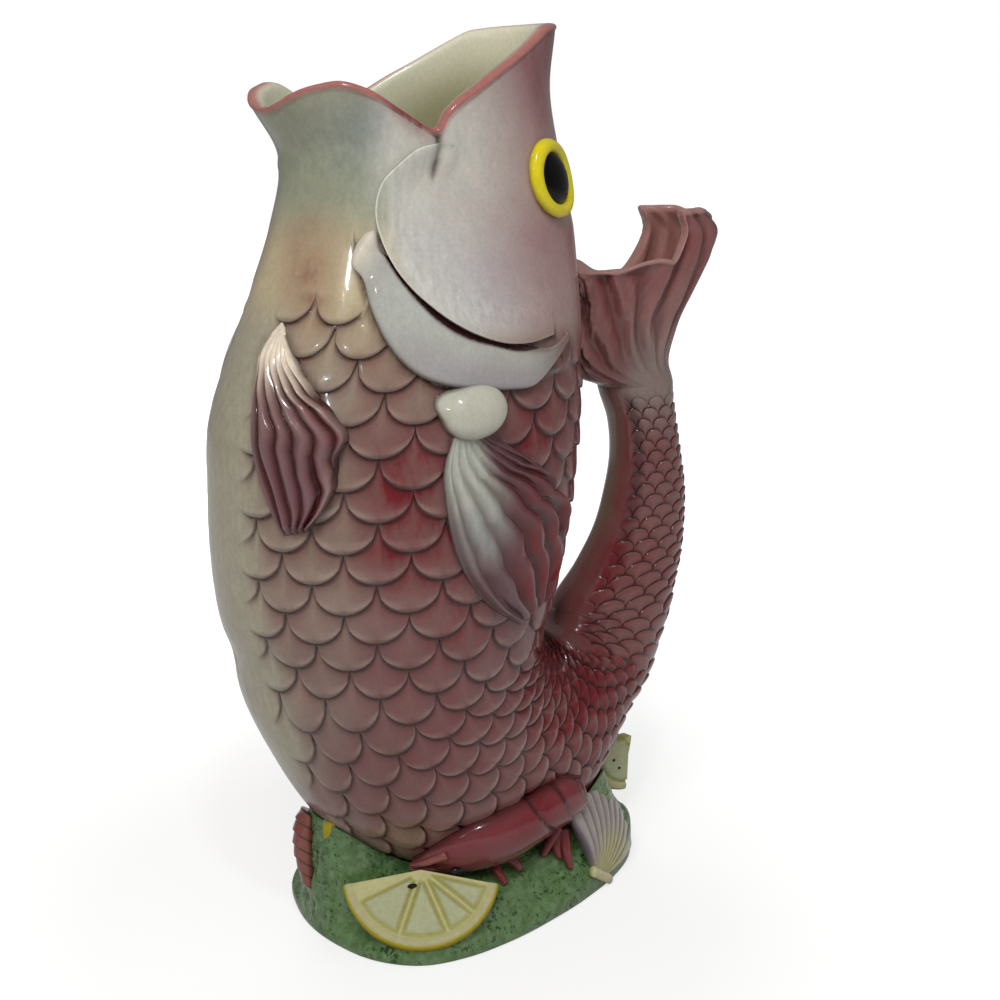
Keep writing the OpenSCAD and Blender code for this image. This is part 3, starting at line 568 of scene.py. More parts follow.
def glaze(name, streak, speck=0.25, gloss=0.16, lumps=0.12, line=line_and_shade_brown, stretch=(1, 1, 0.09),
          coat=0.35, level=0.45, sponge=None):
    """Brushed underglaze colours under a clear glaze: streaks along the brush, a broken wash,
    a dark line colour in the crevices that is both pooled colour and painted shade, and the
    slight waves of a dipped surface. A wash below 0 is a poured glaze without brush marks. A
    sponge colour is dabbed on in specks that crowd in clouds."""
    material = bpy.data.materials.new(name)
    material.use_nodes = True
    tree = material.node_tree
    shader = tree.nodes["Principled BSDF"]
    place = node(tree, "ShaderNodeTexCoord").outputs["Object"]
    paint = node(tree, "ShaderNodeAttribute", attribute_name="paint").outputs["Color"]
    wash = node(tree, "ShaderNodeAttribute", attribute_name="wash").outputs["Fac"]
    crevice = node(tree, "ShaderNodeAttribute", attribute_name="crevice").outputs["Fac"]
    brushed = noise(tree, place, 420, 5, stretch)
    cloudy = noise(tree, place, 46, 4)
    fine = noise(tree, place, 900, 3)
    uneven = times(tree, times(tree, brushed, 0.45), times(tree, cloudy, 0.55), "ADD")
    broken = remap(tree, uneven, 0.36, 0.64, 1 - 2 * speck, 1 + 2 * speck)
    colour = blend_colour(tree, times(tree, wash, broken), paint, crimson)
    # Dark line colour in the recesses, both pooled colour and painted shade, made uneven by fine noise
    pool_and_shade = remap(tree, fine, 0.3, 0.7, 0.8, 1.15)
    colour = blend_colour(tree, times(tree, crevice, pool_and_shade), colour, line)
    calm = remap(tree, wash, -1, 0)
    light = times(tree, times(tree, remap(tree, brushed, 0.3, 0.7, -streak, streak * 0.6), calm), 1, "ADD")
    if sponge:
        light_speck, dark_speck = sponge
        specks = noise(tree, place, 620, 2, rough=0.6)
        crowds = times(tree, specks, times(tree, noise(tree, place, 80, 3), 0.6), "ADD")
        mottled = remap(tree, noise(tree, place, 260, 5, rough=0.7), 0.4, 0.66, 0, 0.7)
        colour = blend_colour(tree, mottled, colour, light_speck)
        colour = blend_colour(tree, remap(tree, crowds, 0.88, 0.98, 0, 0.9), colour, dark_speck)
    grain = remap(tree, fine, 0.3, 0.7, 0.94, 1.06)
    shade = times(tree, light, grain)
    grey = node(tree, "ShaderNodeCombineColor")
    for socket in grey.inputs[:3]:
        tree.links.new(shade, socket)
    colour = blend_colour(tree, 1.0, colour, grey.outputs[0], "MULTIPLY")
    tree.links.new(colour, shader.inputs["Base Color"])
    tree.links.new(remap(tree, cloudy, 0.3, 0.7, gloss, gloss + 0.08), shader.inputs["Roughness"])
    shader.inputs["IOR"].default_value = 1.45
    shader.inputs["Specular IOR Level"].default_value = level
    shader.inputs["Coat Weight"].default_value = coat
    shader.inputs["Coat Roughness"].default_value = 0.04
    waves = noise(tree, place, 70, 2)
    bump = node(tree, "ShaderNodeBump", Strength=lumps, Distance=0.0015)
    tree.links.new(waves, bump.inputs["Height"])
    small = node(tree, "ShaderNodeBump", Strength=0.08, Distance=0.0003)
    tree.links.new(brushed, small.inputs["Height"])
    tree.links.new(bump.outputs[0], small.inputs["Normal"])
    tree.links.new(small.outputs[0], shader.inputs["Normal"])
    return material


# Trunk
def scale_place(turn, row, count):
    """Where a column lies across its scale in a row: -1 and 1 at the corners, 0 at the tip."""
    return ((turn * count / 360 + row / 2) % 1) * 2 - 1


def scale_edge(turn, row, count):
    """Row of a free edge: half an ellipse on each scale, its tip on the row."""
    return row - scale_share * (1 - arch(scale_place(turn, row, count)))


def gill_z(turn):
    """Lower edge of the gills, where the scales begin."""
    return top_row_z * (1 - 0.32 * along(gill_drop_shares, fold(turn) / 180))


def scale_mask(turn, row):
    """How fully the scales stand out: not on the belly, the gills or the inner side of the handle."""
    z = top_row_z - row * row_h
    swing = (row - level_rows) * row_swing
    belly = ease((180 - fold(turn) - 13) / 7 + np.maximum(0, swing - 60) / 20)
    inner = ease(fold(turn) / 30 + 1 - np.maximum(0, swing - 60) / 30)
    return np.clip((gill_z(turn) - z + 3) / 2.5, 0, 1) * belly * inner


steps_in_row = np.array([0, 0.06, 0.2, 0.42, 0.68, 0.9, 1])


def scaled_rings(surface, turn, rows, count, height, mask):
    """Rings of a scaled skin. Each scale rises from under the last row's edge to its own, so
    a free edge stands one step over the next scale everywhere and its corners lie deepest.
    With the points come the distances below the last edge and up to the scale's own edge, in
    millimetres, and how fully the scales stand out."""
    v, from_last, f, to_tip, across = ([] for _ in range(5))
    for n in range(1, rows + 1):
        last, own = scale_edge(turn, n - 1, count), scale_edge(turn, n, count)
        for step in steps_in_row:
            row = mix(last + 0.03 * (1 - step), own, step)
            for values, value in ((v, row), (from_last, row - last), (f, np.full_like(row, step)),
                                  (to_tip, n - row), (across, scale_place(turn, n, count))):
                values.append(value)
    v, from_last, f, to_tip, across = map(np.array, (v, from_last, f, to_tip, across))
    on = mask(turn[None], v)
    rise = -height * 1.92 * (np.clip(to_tip, 0, 1.95) / 1.92) ** 1.25
    crown = -0.3 * height * across ** 2 * f
    rounded = -0.28 * height * fade(f, 0.85, 1)
    points = surface(turn[None], v, (rise + crown + rounded) * on)
    apart = surface(turn[None], v + 0.05, 0.0) - surface(turn[None], v - 0.05, 0.0)
    pitch = np.linalg.norm(apart, axis=-1) / 0.1
    to_edge = np.maximum(to_tip - scale_share * (1 - arch(across)), 0)
    return points, from_last * pitch, to_edge * pitch, on


def level_z(share):
    """Height of a level given as a share of the way from the crotch to the jaw tip."""
    return crotch_h + (pitcher_h - crotch_h) * share


cover_turns = [105, 115, 124, 130.6, 132, 129, 124, 117.6, 110.4, 102.7, 94.2, 84.7, 73.7, 61.8]
cover_levels = [0.822, 0.814, 0.791, 0.764, 0.726, 0.687, 0.651,
                0.619, 0.591, 0.566, 0.545, 0.53, 0.525, 0.53]
cover_top_turns = [99, 106, 112, 116, 117.5, 116, 112, 107, 101, 95, 87, 79, 71, 62]
cover_top_levels = [0.818, 0.796, 0.774, 0.752, 0.722, 0.694, 0.668,
                    0.646, 0.627, 0.612, 0.6, 0.592, 0.586, 0.58]
band_turns = [134.5, 131.4, 127.2, 121.5, 114.5, 107, 98.5, 89.5, 80, 71.4, 62, 53]
band_levels = [0.7, 0.683, 0.658, 0.626, 0.592, 0.562, 0.539, 0.525, 0.513, 0.513, 0.522, 0.54]
band_low_turns = [138.6, 136, 132.6, 127.5, 120.5, 112, 102.5, 92.2, 82, 73, 63, 50.6]
band_low_levels = [0.678, 0.651, 0.618, 0.577, 0.533, 0.497, 0.477, 0.467, 0.461, 0.461, 0.48, 0.509]
pectoral_front = [99, 101.3, 100.8, 99, 96, 91, 82, 68]
pectoral_front_levels = [0.404, 0.354, 0.309, 0.262, 0.216, 0.171, 0.122, 0.079]
pectoral_back = [89, 79, 70.5, 61.5, 54.8, 53.5, 55, 57.5]
pectoral_back_levels = [0.404, 0.371, 0.338, 0.303, 0.256, 0.205, 0.155, 0.102]
pelvic_front = [161.5, 167.5, 166, 164, 162, 160, 155, 149]
pelvic_front_levels = [0.566, 0.529, 0.491, 0.454, 0.416, 0.381, 0.314, 0.261]
pelvic_back = [158, 150, 143, 137.8, 132, 133, 134, 141]
pelvic_back_levels = [0.549, 0.513, 0.482, 0.456, 0.416, 0.367, 0.327, 0.27]
pectoral_flutes = 9.0
pectoral_body = 2.5
pectoral_relief = 2.2
pelvic_flutes = 8.0
pelvic_front_body = 1.4
pelvic_relief = 2.3
right_pelvic_back = 12  # turn by which the right pelvic fin lies further back
fin_columns = 130


def flank_line(turns, levels, count):
    """Points of a line on the skin of both flanks, where painted shade and pooled colour lie beside a luted
    piece.
    """
    t = np.linspace(0, 1, count)
    line = level_point(along(turns, t), level_z(along(levels, t)), 0.0)
    return np.concatenate([line, line * [1, -1, 1]])


# The rim's rounded lip, from outside over the top to inside, and its salmon, from inside out
lip_out = np.array([0.45, 0.1, -0.9, -2.4, -3.9, -4.7, -5.0])[:, None]
lip_drop = np.array([1.5, 0.6, 0.1, 0, 0.25, 1.1, 2.8])[:, None]
lip_salmon = np.array([0, 0, 0.4, 0.9, 1, 1, 1])[:, None]
head_top = 2.6  # highest ring of the head, under the lip
wall_top = 3.0  # highest ring of the inner wall
rows_beside_fins = 16


def make_trunk(material):
    """Trunk as rings from the inner wall's low end up to the rounded rim, down the head and over the
    rows of scales to the tail."""
    clay = Clay()
    columns = np.arange(0, 360, scale_step)
    finer = np.arange(71, 79.76, 0.25) * scale_step
    turn = np.unique(np.round(np.concatenate([columns, finer, 360 - finer]), 6))
    outer, below, to_edge, on = scaled_rings(trunk, turn, level_rows + fan_rows, scales_round,
                                             scale_rise, scale_mask)
    rim = rim_z(turn)
    first_edge_z = top_row_z - scale_edge(turn, 0, scales_round) * row_h
    head_z = mix(first_edge_z, rim - head_top, np.linspace(1, 0, 52)[:-1][:, None])
    head = level_point(turn[None], head_z, head_relief(turn[None], head_z))
    lip = level_point(turn[None], rim - lip_drop, lip_out + 0 * turn)
    inner_z = mix(rim - wall_top, top_row_z, np.linspace(0.02, 1, 18)[:, None])
    inside = level_point(turn[None], inner_z, -wall_t)
    low_z = mix(top_row_z, crotch_h, np.linspace(0.1, 1, 5)[:, None]) + 0 * turn
    inside_low = level_point(turn[None], low_z, -wall_t)
    inside_fan = fan_point(turn[None], np.array([22, 45, 66, 84])[:, None], -wall_t)
    inside_end = fan_point(turn[None], np.array([96])[:, None], -3 * wall_t)
    parts = [inside_end, inside_fan[::-1], inside_low[::-1], inside[::-1], lip[::-1], head, outer]
    rings = np.concatenate(parts)
    wall_end, lip_end, head_end = np.cumsum([len(part) for part in parts])[3:6]
    wall, lips = slice(0, wall_end), slice(wall_end, lip_end)
    face, skin = slice(lip_end, head_end), slice(head_end, None)
    paint = fish_paint(rings)
    wash = fish_wash(rings)
    crevice = np.zeros(rings.shape[:-1])

    # Inner wall, poured olive, with painted shade that darkens it far down
    down = rim - rings[wall, :, 2]
    lit = mix(1, 0.6, fade(down, 40, 100))[..., None]
    paint[wall] = over(tint(mouth_cream, down.shape), mouth_olive, ease(down / 26)) * lit
    wash[wall] = -1

    # Rounded lip, salmon outside, reddest at the mouth's corner
    notch = bell((fold(turn) - 112) / 6)
    salmon = lip_salmon + 0 * turn
    paint[lips] = over(tint(mouth_cream, salmon.shape), rim_salmon, salmon)
    wash[lips] = mix(-1, 0, ease(salmon * 1.2)) + (0.06 + 0.6 * notch) * salmon

    # Head under the lip
    z = rings[face, :, 2]
    down = rim - z
    paint[face] = over(paint[face], rim_salmon, fade(down, 2.2, 1.4) * (0.8 + 0.2 * notch))
    wash[face] += 0.3 * bell((down - 2.5) / 0.6) + 0.45 * bell(down / 8) * notch + 0.1 * bell(down / 12)
    # Painted shade along the crease under the mouth's corner
    crevice[face] += 0.8 * bell((fold(turn) - crease_turn(z)) / 1.1) * crease_share(z)

    # Scales: crimson, plum and dark colour under each free edge, both pooled colour and painted shade, and a
    # cream painted highlight along the edge
    red = np.clip(fish_wash(outer) * 1.9, 0.3, 1)
    wash[skin] += on * (0.75 * np.exp(-below / 3.0) * red + 0.1 * bell(to_edge / 1.2) * red)
    paint[skin] = coats(paint[skin], (plum, on * 0.5 * np.exp(-below / 4.5)),
                        (scale_edge_highlight, on * 0.55 * bell((to_edge - 0.8) / 0.6)))
    pool_and_shade = bell(below / 1.15) + 0.48 * np.exp(-below / 1.8) + 0.35 * bell(to_edge / 0.22)
    crevice[skin] = on * np.clip(pool_and_shade, 0, 0.95)

    # Painted shade and pooled colour in the grooves beside the luted pieces
    flank = slice(lip_end, head_end + rows_beside_fins * len(steps_in_row))
    for line, width, much in (
            (flank_line(cover_turns[5:], cover_levels[5:], 60), 2.2, 0.95),
            (flank_line(band_low_turns, band_low_levels, 60), 1.7, 0.85),
            (flank_line(pectoral_front, pectoral_front_levels, 40), 1.5, 0.8),
            (flank_line(pectoral_back, pectoral_back_levels, 40), 1.5, 0.6),
            (flank_line(pelvic_front, pelvic_front_levels, 40), 1.2, 0.3),
            (flank_line(pelvic_back, pelvic_back_levels, 40), 1.8, 0.8)):
        crevice[flank] = np.maximum(crevice[flank], much * near_line(rings[flank], line, width))
    clay.rings(rings, paint, wash, crevice)
    fire("fish_body", clay, material, "body_glaze", "fish_body")


def tail_greyness(p):
    """How grey the tail is by place: on the outside, about the seam of the handle and the fin, where the
    paler grey stands partly for a painted highlight.
    """
    x, z = p[..., 0], p[..., 2]
    return fade(z, 168, 194) * fade(x, 88, 102) * fade(z, 248, 214)


def tail_paint(p):
    """Ground colour of the tail by place: plum, greyer on the outside where the handle meets the fin, partly
    a painted highlight.
    """
    grey = tail_greyness(p)
    return over(tint(tail_plum, grey.shape), tail_grey, 0.85 * grey)


def tail_wash(p):
    """Crimson over the tail by place, less where it is grey."""
    return 0.28 + 0.1 * fade(p[..., 2], 92, 78) - 0.18 * tail_greyness(p)


def handle_mask(turn, row):
    """The handle is smooth toward the fingers and under the tail fin."""
    return fade(fold(turn), 42, 58) * ease((grip_fan_rows + grip_level_rows - 0.2 - row) / 2.0)


def make_handle(material):
    """Handle: rows of small scales outside, a smooth inner side, closed at both ends. The columns are
    crowded toward the outside by shifting each turn by its sine."""
    clay = Clay()
    turn = np.arange(0, 360, 360 / (grip_scales_round * grip_columns))
    crowd = lambda a: a - grip_crowding * sin(a)
    rows = grip_fan_rows + grip_level_rows
    surface = lambda a, row, out: grip(crowd(a), row, out)
    outer, below, _, on = scaled_rings(surface, turn, rows, grip_scales_round, grip_rise, handle_mask)
    lead = surface(turn[None], np.array([-3.4, -1.2])[:, None] + 0 * turn, -1.8)
    end = surface(turn[None], np.array([rows, rows + 0.06])[:, None] + 0 * turn, np.array([0, -2.4])[:, None])
    rings = np.concatenate([lead, outer, end])
    z = rings[..., 2]
    side = fold(crowd(turn))[None] + 0 * z
    finger_side = 0.8 * fade(side, 24, 4) * fade(z, 120, 150) * fade(z, 192, 180)
    paint = over(tail_paint(rings), grip_olive, finger_side)
    wash = tail_wash(rings) + 0.46 * fade(side, 62, 44) * bell((side - 44) / 22) * fade(z, 196, 186)
    crevice = np.zeros(z.shape)
    skin = slice(len(lead), len(lead) + len(outer))
    # Crimson under each scale's edge with pooled colour and painted shade, and a dark line along the handle
    # where the scales end toward the inner side
    wash[skin] += on * 0.55 * np.exp(-below / 2.0)
    crevice[skin] = on * np.clip(0.95 * bell(below / 0.8) + 0.3 * np.exp(-below / 1.3), 0, 0.95)
    crevice += 0.6 * bell((side - 46) / 10) * fade(z, 118, 158) * fade(z, 197, 189)
    clay.rings(rings, paint, np.clip(wash, 0, 1), crevice)
    fire("tail_handle", clay, material, "handle_glaze", "tail_handle")


# Tail fin
fin_far_shares = [0, -0.08, -0.04, 0.1, 0.37, 0.65, 0.9, 1, 0.61]
fin_near_shares = [1, 0.6, 0.28, 0.08, 0, 0, 0]
fin_side_shares = [1, 1.06, 1.12, 1.2, 1.26, 1.3, 1.28]
fin_roll_out = np.array([0.6, 0.2, -1.2, -3.0, -4.4])[:, None]
fin_roll_t = np.array([0.975, 0.992, 1.0, 0.998, 0.98])[:, None]


def fin_edge_share(turn):
    """Height of the fin's edge from its low web, 0, to its lobe, 1: a steep step on both flanks."""
    f = fold(turn)
    nape = fade(f, 140, 180)
    near = mix(0.05 + 0.15 * ease(1 - np.abs(f - 90) / 30), 0.25, nape)
    web = np.where(sin(turn) < 0, near, mix(-0.09, 0.25, nape))
    return mix(web, 1, fade(f, 79, 63)) - 0.15 * fade(f, 32, 0)


def crumple(a, b, seed):
    """Smooth pinching of soft clay: a few waves of unlike lengths added up."""
    rng = np.random.default_rng(seed)
    total = 0
    for k in range(1, 6):
        u, w, phase = rng.normal(size=2), 0.9 / k, rng.uniform(0, 2 * math.pi, 2)
        total = total + w * np.sin(k * u[0] * a + phase[0]) * np.cos(k * u[1] * b + phase[1])
    return total


def fin_ribs(turn, t):
    """Ribs that spread from the handle up toward the nape, their lines wavering: 1 on a rib, -1 between."""
    f = fold(turn)
    wander = 0.5 * crumple(f / 40, t * 2.5, 2) + 0.16 * crumple(f / 12, t * 7, 4)
    return cos(360 * (f / (1 + 0.55 * np.clip(t, 0, 1)) / 19 + wander * 0.8))


def fin_point(turn, t, out):
    """Tail fin: level rings from the handle's end out to the nape and the lobe, squarer higher up."""
    top = seam_h + mix(web_h, lobe_h, fin_edge_share(turn))
    z = mix(seam_h, top, t)
    rise = (z - seam_h) / lobe_h
    nape = back_reach * along(back_shares, (z - crotch_h) / (pitcher_h - crotch_h)) + seat_gap - out
    seam_near = mix(grip_edge, back_reach + finger_gap, grip_in_shares[6])
    near = mix(nape, seam_near, along(fin_near_shares, np.minimum(1, rise * 4)))
    far = mix(handle_reach * grip_out_shares[6], lobe_reach, along(fin_far_shares, rise))
    side = handle_half_w * along(fin_side_shares, rise)
    flute = 1.1 * ease(rise * 3) * np.abs(sin(turn)) * fin_ribs(turn, t)
    s = sin(turn)
    wide = np.sign(s) * np.abs(s) ** mix(1, 0.8, ease(rise * 3))
    return stack((near + far) / 2 + ((far - near) / 2 + out) * cos(turn), (side + out + flute) * wide, z)


def make_tail_fin(material):
    """Tail fin: fluted outside and inside, with a rolled edge and a pinched seam at the nape. Its
    columns run the other way round, so that its faces look outward."""
    clay = Clay()
    turn = np.arange(0, 360, 1.25)
    t = np.concatenate([[-0.05, 0], np.linspace(0.03, 0.96, 44)])[:, None]
    turns, ts = np.broadcast_arrays(turn[None], t)
    seam = bell((fold(turns) - 165) / 22) * ease(ts * 4)
    pinch = (crumple(turns / 7, ts * 9, 5) + 0.8 * crumple(turns / 3, ts * 20, 9)) * seam * 1.4
    rib = fin_ribs(turns, ts)
    ribs = 0.8 * ease(ts * 3) * fade(fold(turns), 170, 150) * rib
    drawn_in = 0.3 * ease(ts * 8) + 0.6 * ease((ts - 0.3) * 3) + 0.6 * (ts < 0)
    outside = fin_point(turns, ts, np.minimum(pinch + ribs - drawn_in, 1.2))
    roll = fin_point(turn[None], fin_roll_t, fin_roll_out)
    inside = fin_point(turn[None], np.linspace(0.95, 0.0, 26)[:, None], fin_roll_out[-1] - 0.2)
    rings = np.concatenate([outside, roll, inside])
    rise = (rings[..., 2] - seam_h) / lobe_h
    outside_end, roll_end = len(outside), len(outside) + len(roll)
    skin, edge, cup = slice(0, outside_end), slice(outside_end, roll_end), slice(roll_end, None)
    fluted = ease(rise[skin] * 3)
    paint = over(tail_paint(rings), fin_rose, 0.8 * fade(rise, 0.1, 0.5))
    # Pink painted highlights on the raised pinches of the seam; the rolled edge paler pink with less crimson,
    # partly its own colour and partly a painted highlight
    paint[skin] = over(paint[skin], seam_ridge_highlight, 0.8 * seam * ease(pinch * 1.5 + 0.4))
    paint[edge] = mix(paint[edge], edge_pink, 0.7)
    paint[cup] = mix(paint[cup], cup_pink, 0.7)
    wash = tail_wash(rings) + 0.14 * fade(rise, 0.3, 0.8)
    wash[skin] += 0.2 * ease(0.3 - rib) * fluted
    wash[edge] -= 0.3
    wash[cup] = 0.12 + 0.2 * fade(rise[cup], 0.9, 0.5)
    crevice = np.zeros(rise.shape)
    # Pooled colour and painted shade along the nape seam, in the pinch hollows and between the ribs
    crevice[skin] = 0.5 * bell((fold(turns) - 172) / 8) + 0.35 * np.clip(-pinch, 0, 1)
    crevice[skin] += 0.34 * ease((-rib - 0.3) * 1.6) * fluted
    wash, crevice = np.clip(wash, 0, 1), np.clip(crevice, 0, 0.8)
    clay.rings(rings[:, ::-1], paint[:, ::-1], wash[:, ::-1], crevice[:, ::-1])
    fire("tail_fin", clay, material, "tail_glaze", "tail_fin")


# Luted pieces of the head and the flanks
cover_swell = 3.1
band_swell = 2.7


def flank_patch(clay, side, turn, share, height, paint, wash, crevice, on_head=False):
    """Piece laid on the flank: a grid of turns and levels, raised by its height over the skin, with its
    back in the wall. On the head it is raised over the head's modelling, and its grid runs the other way."""
    z = level_z(share)
    base = head_relief(turn, z) if on_head else 0.0
    outer = level_point(side * turn, z, base + height)
    inner = level_point(side * turn, z, np.full_like(height, -sunk))
    clay.slab(outer, inner, paint, wash, crevice, flip=(side < 0) != on_head)


def unit_grid(rows, cols):
    """Two parameters over a grid: t along the piece and s across it."""
    return np.meshgrid(np.linspace(0, 1, rows), np.linspace(0, 1, cols), indexing="ij")


def make_pairs(*kinds):
    """Makes each kind of piece on the fish's left side, toward -Y, and then on its right."""
    for name, side in (("left", -1), ("right", 1)):
        for kind, model, material, slot in kinds:
            clay = Clay()
            model(clay, side)
            fire(kind + name, clay, material, slot, kind + name)


def degree_length(turn, z):
    """Length of one degree of turn on the skin."""
    return np.linalg.norm(level_point(turn + 1, z, 0.0) - level_point(turn, z, 0.0))


def gill_cover(clay, side):
    """Gill cover: a plate that swells out of the head from its top edge, s = 0, and rolls in at its
    rounded free edge, s = 1."""
    t, s = unit_grid(150, 40)
    s = 1 - (1 - s) ** 1.5
    turn = mix(along(cover_top_turns, t), along(cover_turns, t), s)
    share = mix(along(cover_top_levels, t), along(cover_levels, t), s)
    z = level_z(share)
    ends = mix(0.45, 1, ease(t * 9)) * mix(0.05, 1, ease((1 - t) * 5))
    height = cover_swell * ease(s * 1.05) ** 1.2 * ends
    height = height - 0.25 * (1 - ease(s * 3)) - 1.8 * fade(s, 0.96, 1) ** 2
    p = level_point(side * turn, z, height)
    # A white painted highlight along the rolled free edge, with less crimson there; painted shade in the
    # crease and under the roll of the edge
    paint = over(fish_paint(p), cover_edge_highlight, 0.75 * bell((s - 0.95) / 0.022) * fade(t, 0.62, 0.32))
    wash = fish_wash(p) * (1 - 0.6 * bell((s - 0.955) / 0.04))
    crease = 0.55 * bell(turn - crease_turn(z)) * crease_share(z)
    crevice = np.maximum(crease, 0.9 * fade(s, 0.972, 0.992) * ease(t / 0.22))
    flank_patch(clay, side, turn, share, height, paint, wash, crevice, on_head=True)


def gill_band(clay, side):
    """Gill band: a glossy crescent under the cover, a round bar in section, with a bulb at its front
    end, t = 0."""
    t, s = unit_grid(140, 26)
    t = t ** 1.3
    round_end = arch(np.clip(1 - t / 0.055, 0, 1))
    bulge = 1 + 0.6 * bell((t - 0.065) / 0.05) - 0.12 * bell((t - 0.17) / 0.04)
    wide = round_end * bulge * mix(1, 0.35, fade(t, 0.8, 1))
    across = 0.5 + (s - 0.5) * wide - 0.3 * (1 - s) * fade(t, 0.1, 0.24) * fade(t, 0.9, 0.7)
    turn = mix(along(band_turns, t), along(band_low_turns, t), across)
    share = mix(along(band_levels, t), along(band_low_levels, t), across)
    free = mix(s, np.clip((across + 0.17) / (0.67 + 0.5 * wide), 0, 1), fade(t, 0.1, 0.2))
    puff = arch(2 * free - 1) ** 0.8
    bulb = 1 + 0.3 * bell((t - 0.06) / 0.05) - 0.3 * bell((t - 0.17) / 0.05)
    ends = mix(0.2, 1, ease(t * 16)) * mix(0.05, 1, ease((1 - t) * 4))
    height = seat_gap + band_swell * (0.05 + 0.95 * puff) * bulb * ends
    p = level_point(side * turn, level_z(share), height)
    paint = coats(tint(band_blue, s.shape),
                  (bulb_cream, fade(t, 0.2, 0.06)),
                  (band_violet, 0.6 * bell((t - 0.62) / 0.22) * fade(s, 0.3, 0.8)),
                  (fish_paint(p), 0.9 * fade(t, 0.82, 1)))
    wash = 0.02 + 0.4 * fish_wash(p) * ease(t * 8) + 0.22 * fade(t, 0.66, 0.96)
    wash = wash + 0.14 * bell((t - 0.2) / 0.05)
    # Painted shade in the groove under the cover, along the band's lower edge, at its front tip and near its
    # far end
    crevice = 1.5 * fade(free, 0.125, 0.015) * fade(t, 0.1, 0.2) + 0.7 * bell((1 - s) / 0.06)
    crevice = crevice + 0.5 * bell(t / 0.012)
    crevice = np.maximum(crevice, 0.7 * bell((t - 0.78) / 0.1) * bell((s - 0.02) / 0.12))
    flank_patch(clay, side, turn, share, height, paint, wash, crevice, on_head=True)


root_turn = 93.5
root_share = 0.437
root_half_l = 12.2
root_half_h = 9.4
root_rise = 7.2


def fin_root(clay, side):
    """Fin root: a smooth dome with a flare toward the gills. Its height over the skin is the root of
    one less a power of the share of the way out from its middle."""
    angle = np.arange(0, 360, 5.0)
    share = np.linspace(1.0, 0.04, 26)[:, None]
    z = level_z(root_share)
    flare = bell(fold(angle - 26) / 24)
    across = share * root_half_l * cos(angle) * (1 + 0.34 * flare)
    up = share * root_half_h * sin(angle) * (1 + 0.3 * flare)
    lower = 1 - 0.55 * fade(np.hypot(across, up), 6, 18) * flare
    height = seat_gap + root_rise * np.sqrt(np.maximum(1 - share ** 2.3, 0)) * lower
    turn = root_turn + across / degree_length(root_turn, z)
    dome = level_point(side * turn, z + up, height)
    skirt = level_point(side * turn[:1], z + up[:1], -sunk)
    points = np.concatenate([skirt, dome])
    wash = 0.03 + 0.2 * fade(share, 0.8, 1) * (up < 0)
    wash = np.concatenate([wash[:1], wash])
    # Painted shade round the foot of the dome, where it meets the skin
    crevice = np.concatenate([[1], 0.75 * bell((1 - share[:, 0]) / 0.05)])[:, None]
    clay.rings(points, root_cream, wash, crevice, flip=side > 0)


def fin_grid(front, front_levels, back, back_levels, rows, lobes, lobe_count, ragged=0.0):
    """Grid of a fin between its front and its back edge, the back edge waved into lobes."""
    t, s = unit_grid(rows, fin_columns)
    wave = lobes * np.abs(np.sin(math.pi * lobe_count * t)) * fade(t, 0.12, 0.32) * fade(t, 1.02, 0.92)
    wave = wave + ragged * crumple(t * 14, t * 3, 11) * fade(t, 0.3, 0.5)
    u = s * (1 + wave)
    turn = mix(along(front, t), along(back, t), u)
    share = mix(along(front_levels, t), along(back_levels, t), u)
    return t, s, turn, share


def pectoral_fin(clay, side):
    """Pectoral fin: broad flutes that spread from the root, t = 0, to the tip, pale at the front,
    s = 0, and red behind."""
    t, s, turn, share = fin_grid(pectoral_front, pectoral_front_levels, pectoral_back, pectoral_back_levels,
                                 120, 0.07, 4.5)
    phase = pectoral_flutes * s / (1 + 1.15 * t) + 0.35 + 0.12 * crumple(s * 6, t * 6, 17)
    wave = flutes(phase, 1.5)
    edge = ease(s / 0.05) * fade(s, 1, 0.955)
    rolled = 0.8 * bell((s - 0.06) / 0.04) * ease(t * 3) + 0.9 * bell((s - 0.93) / 0.05) * fade(t, 0.3, 0.6)
    body = pectoral_body * (0.3 + 0.7 * ease(t * 2)) * (1 - 0.3 * fade(t, 0.82, 1)) + rolled
    fluting = pectoral_relief * ease(t * 3 + 0.15) * mix(1, 0.4, fade(t, 0.88, 0.98)) * (wave - 0.45)
    height = (seat_gap + (body + fluting) * edge) * fade(t, 1.012, 0.962) - 0.4
    pale = ease((0.56 - s + 0.6 * (0.36 - t)) / 0.3) * fade(t, 0.74, 0.38)
    paint = coats(tint(pectoral_plum, s.shape),
                  (pectoral_pale, pale),
                  (pectoral_blue, 0.8 * fade(t, 0.25, 0.55) * pale),
                  (pectoral_violet, 0.8 * fade(t, 0.62, 0.92) * fade(s, 0.6, 0.3)),
                  (pectoral_mauve, 0.7 * bell(s / 0.09) * fade(t, 0.15, 0.45)))
    red = ease((s - 0.36 - 0.6 * (0.5 - t)) / 0.3) * fade(t, 0.2, 0.4)
    wash = 0.62 * red + 0.5 * red * (1 - wave) + 0.24 * (1 - wave) * ease(t * 2)
    wash = wash + 0.45 * bell((t - 0.62) / 0.14) * bell((s - 0.72) / 0.2)
    wash = wash + 0.3 * fade(t, 0.75, 0.95) * fade(s, 0.3, 0.6)
    wash = wash - 0.3 * bell((1 - s) / 0.07) * fade(t, 0.8, 0.6)
    # Pooled colour and painted shade in the valleys between the flutes, and painted shade along both edges
    # where the fin meets the skin
    crevice = 0.85 * (1 - wave) ** 1.7 * ease(t * 2.4) * mix(0.5, 1.0, red)
    crevice = crevice + 0.6 * bell(s / 0.02) + 0.55 * bell((1 - s) / 0.02)
    flank_patch(clay, side, turn, share, height, paint, np.clip(wash, 0, 1), np.clip(crevice, 0, 0.8))


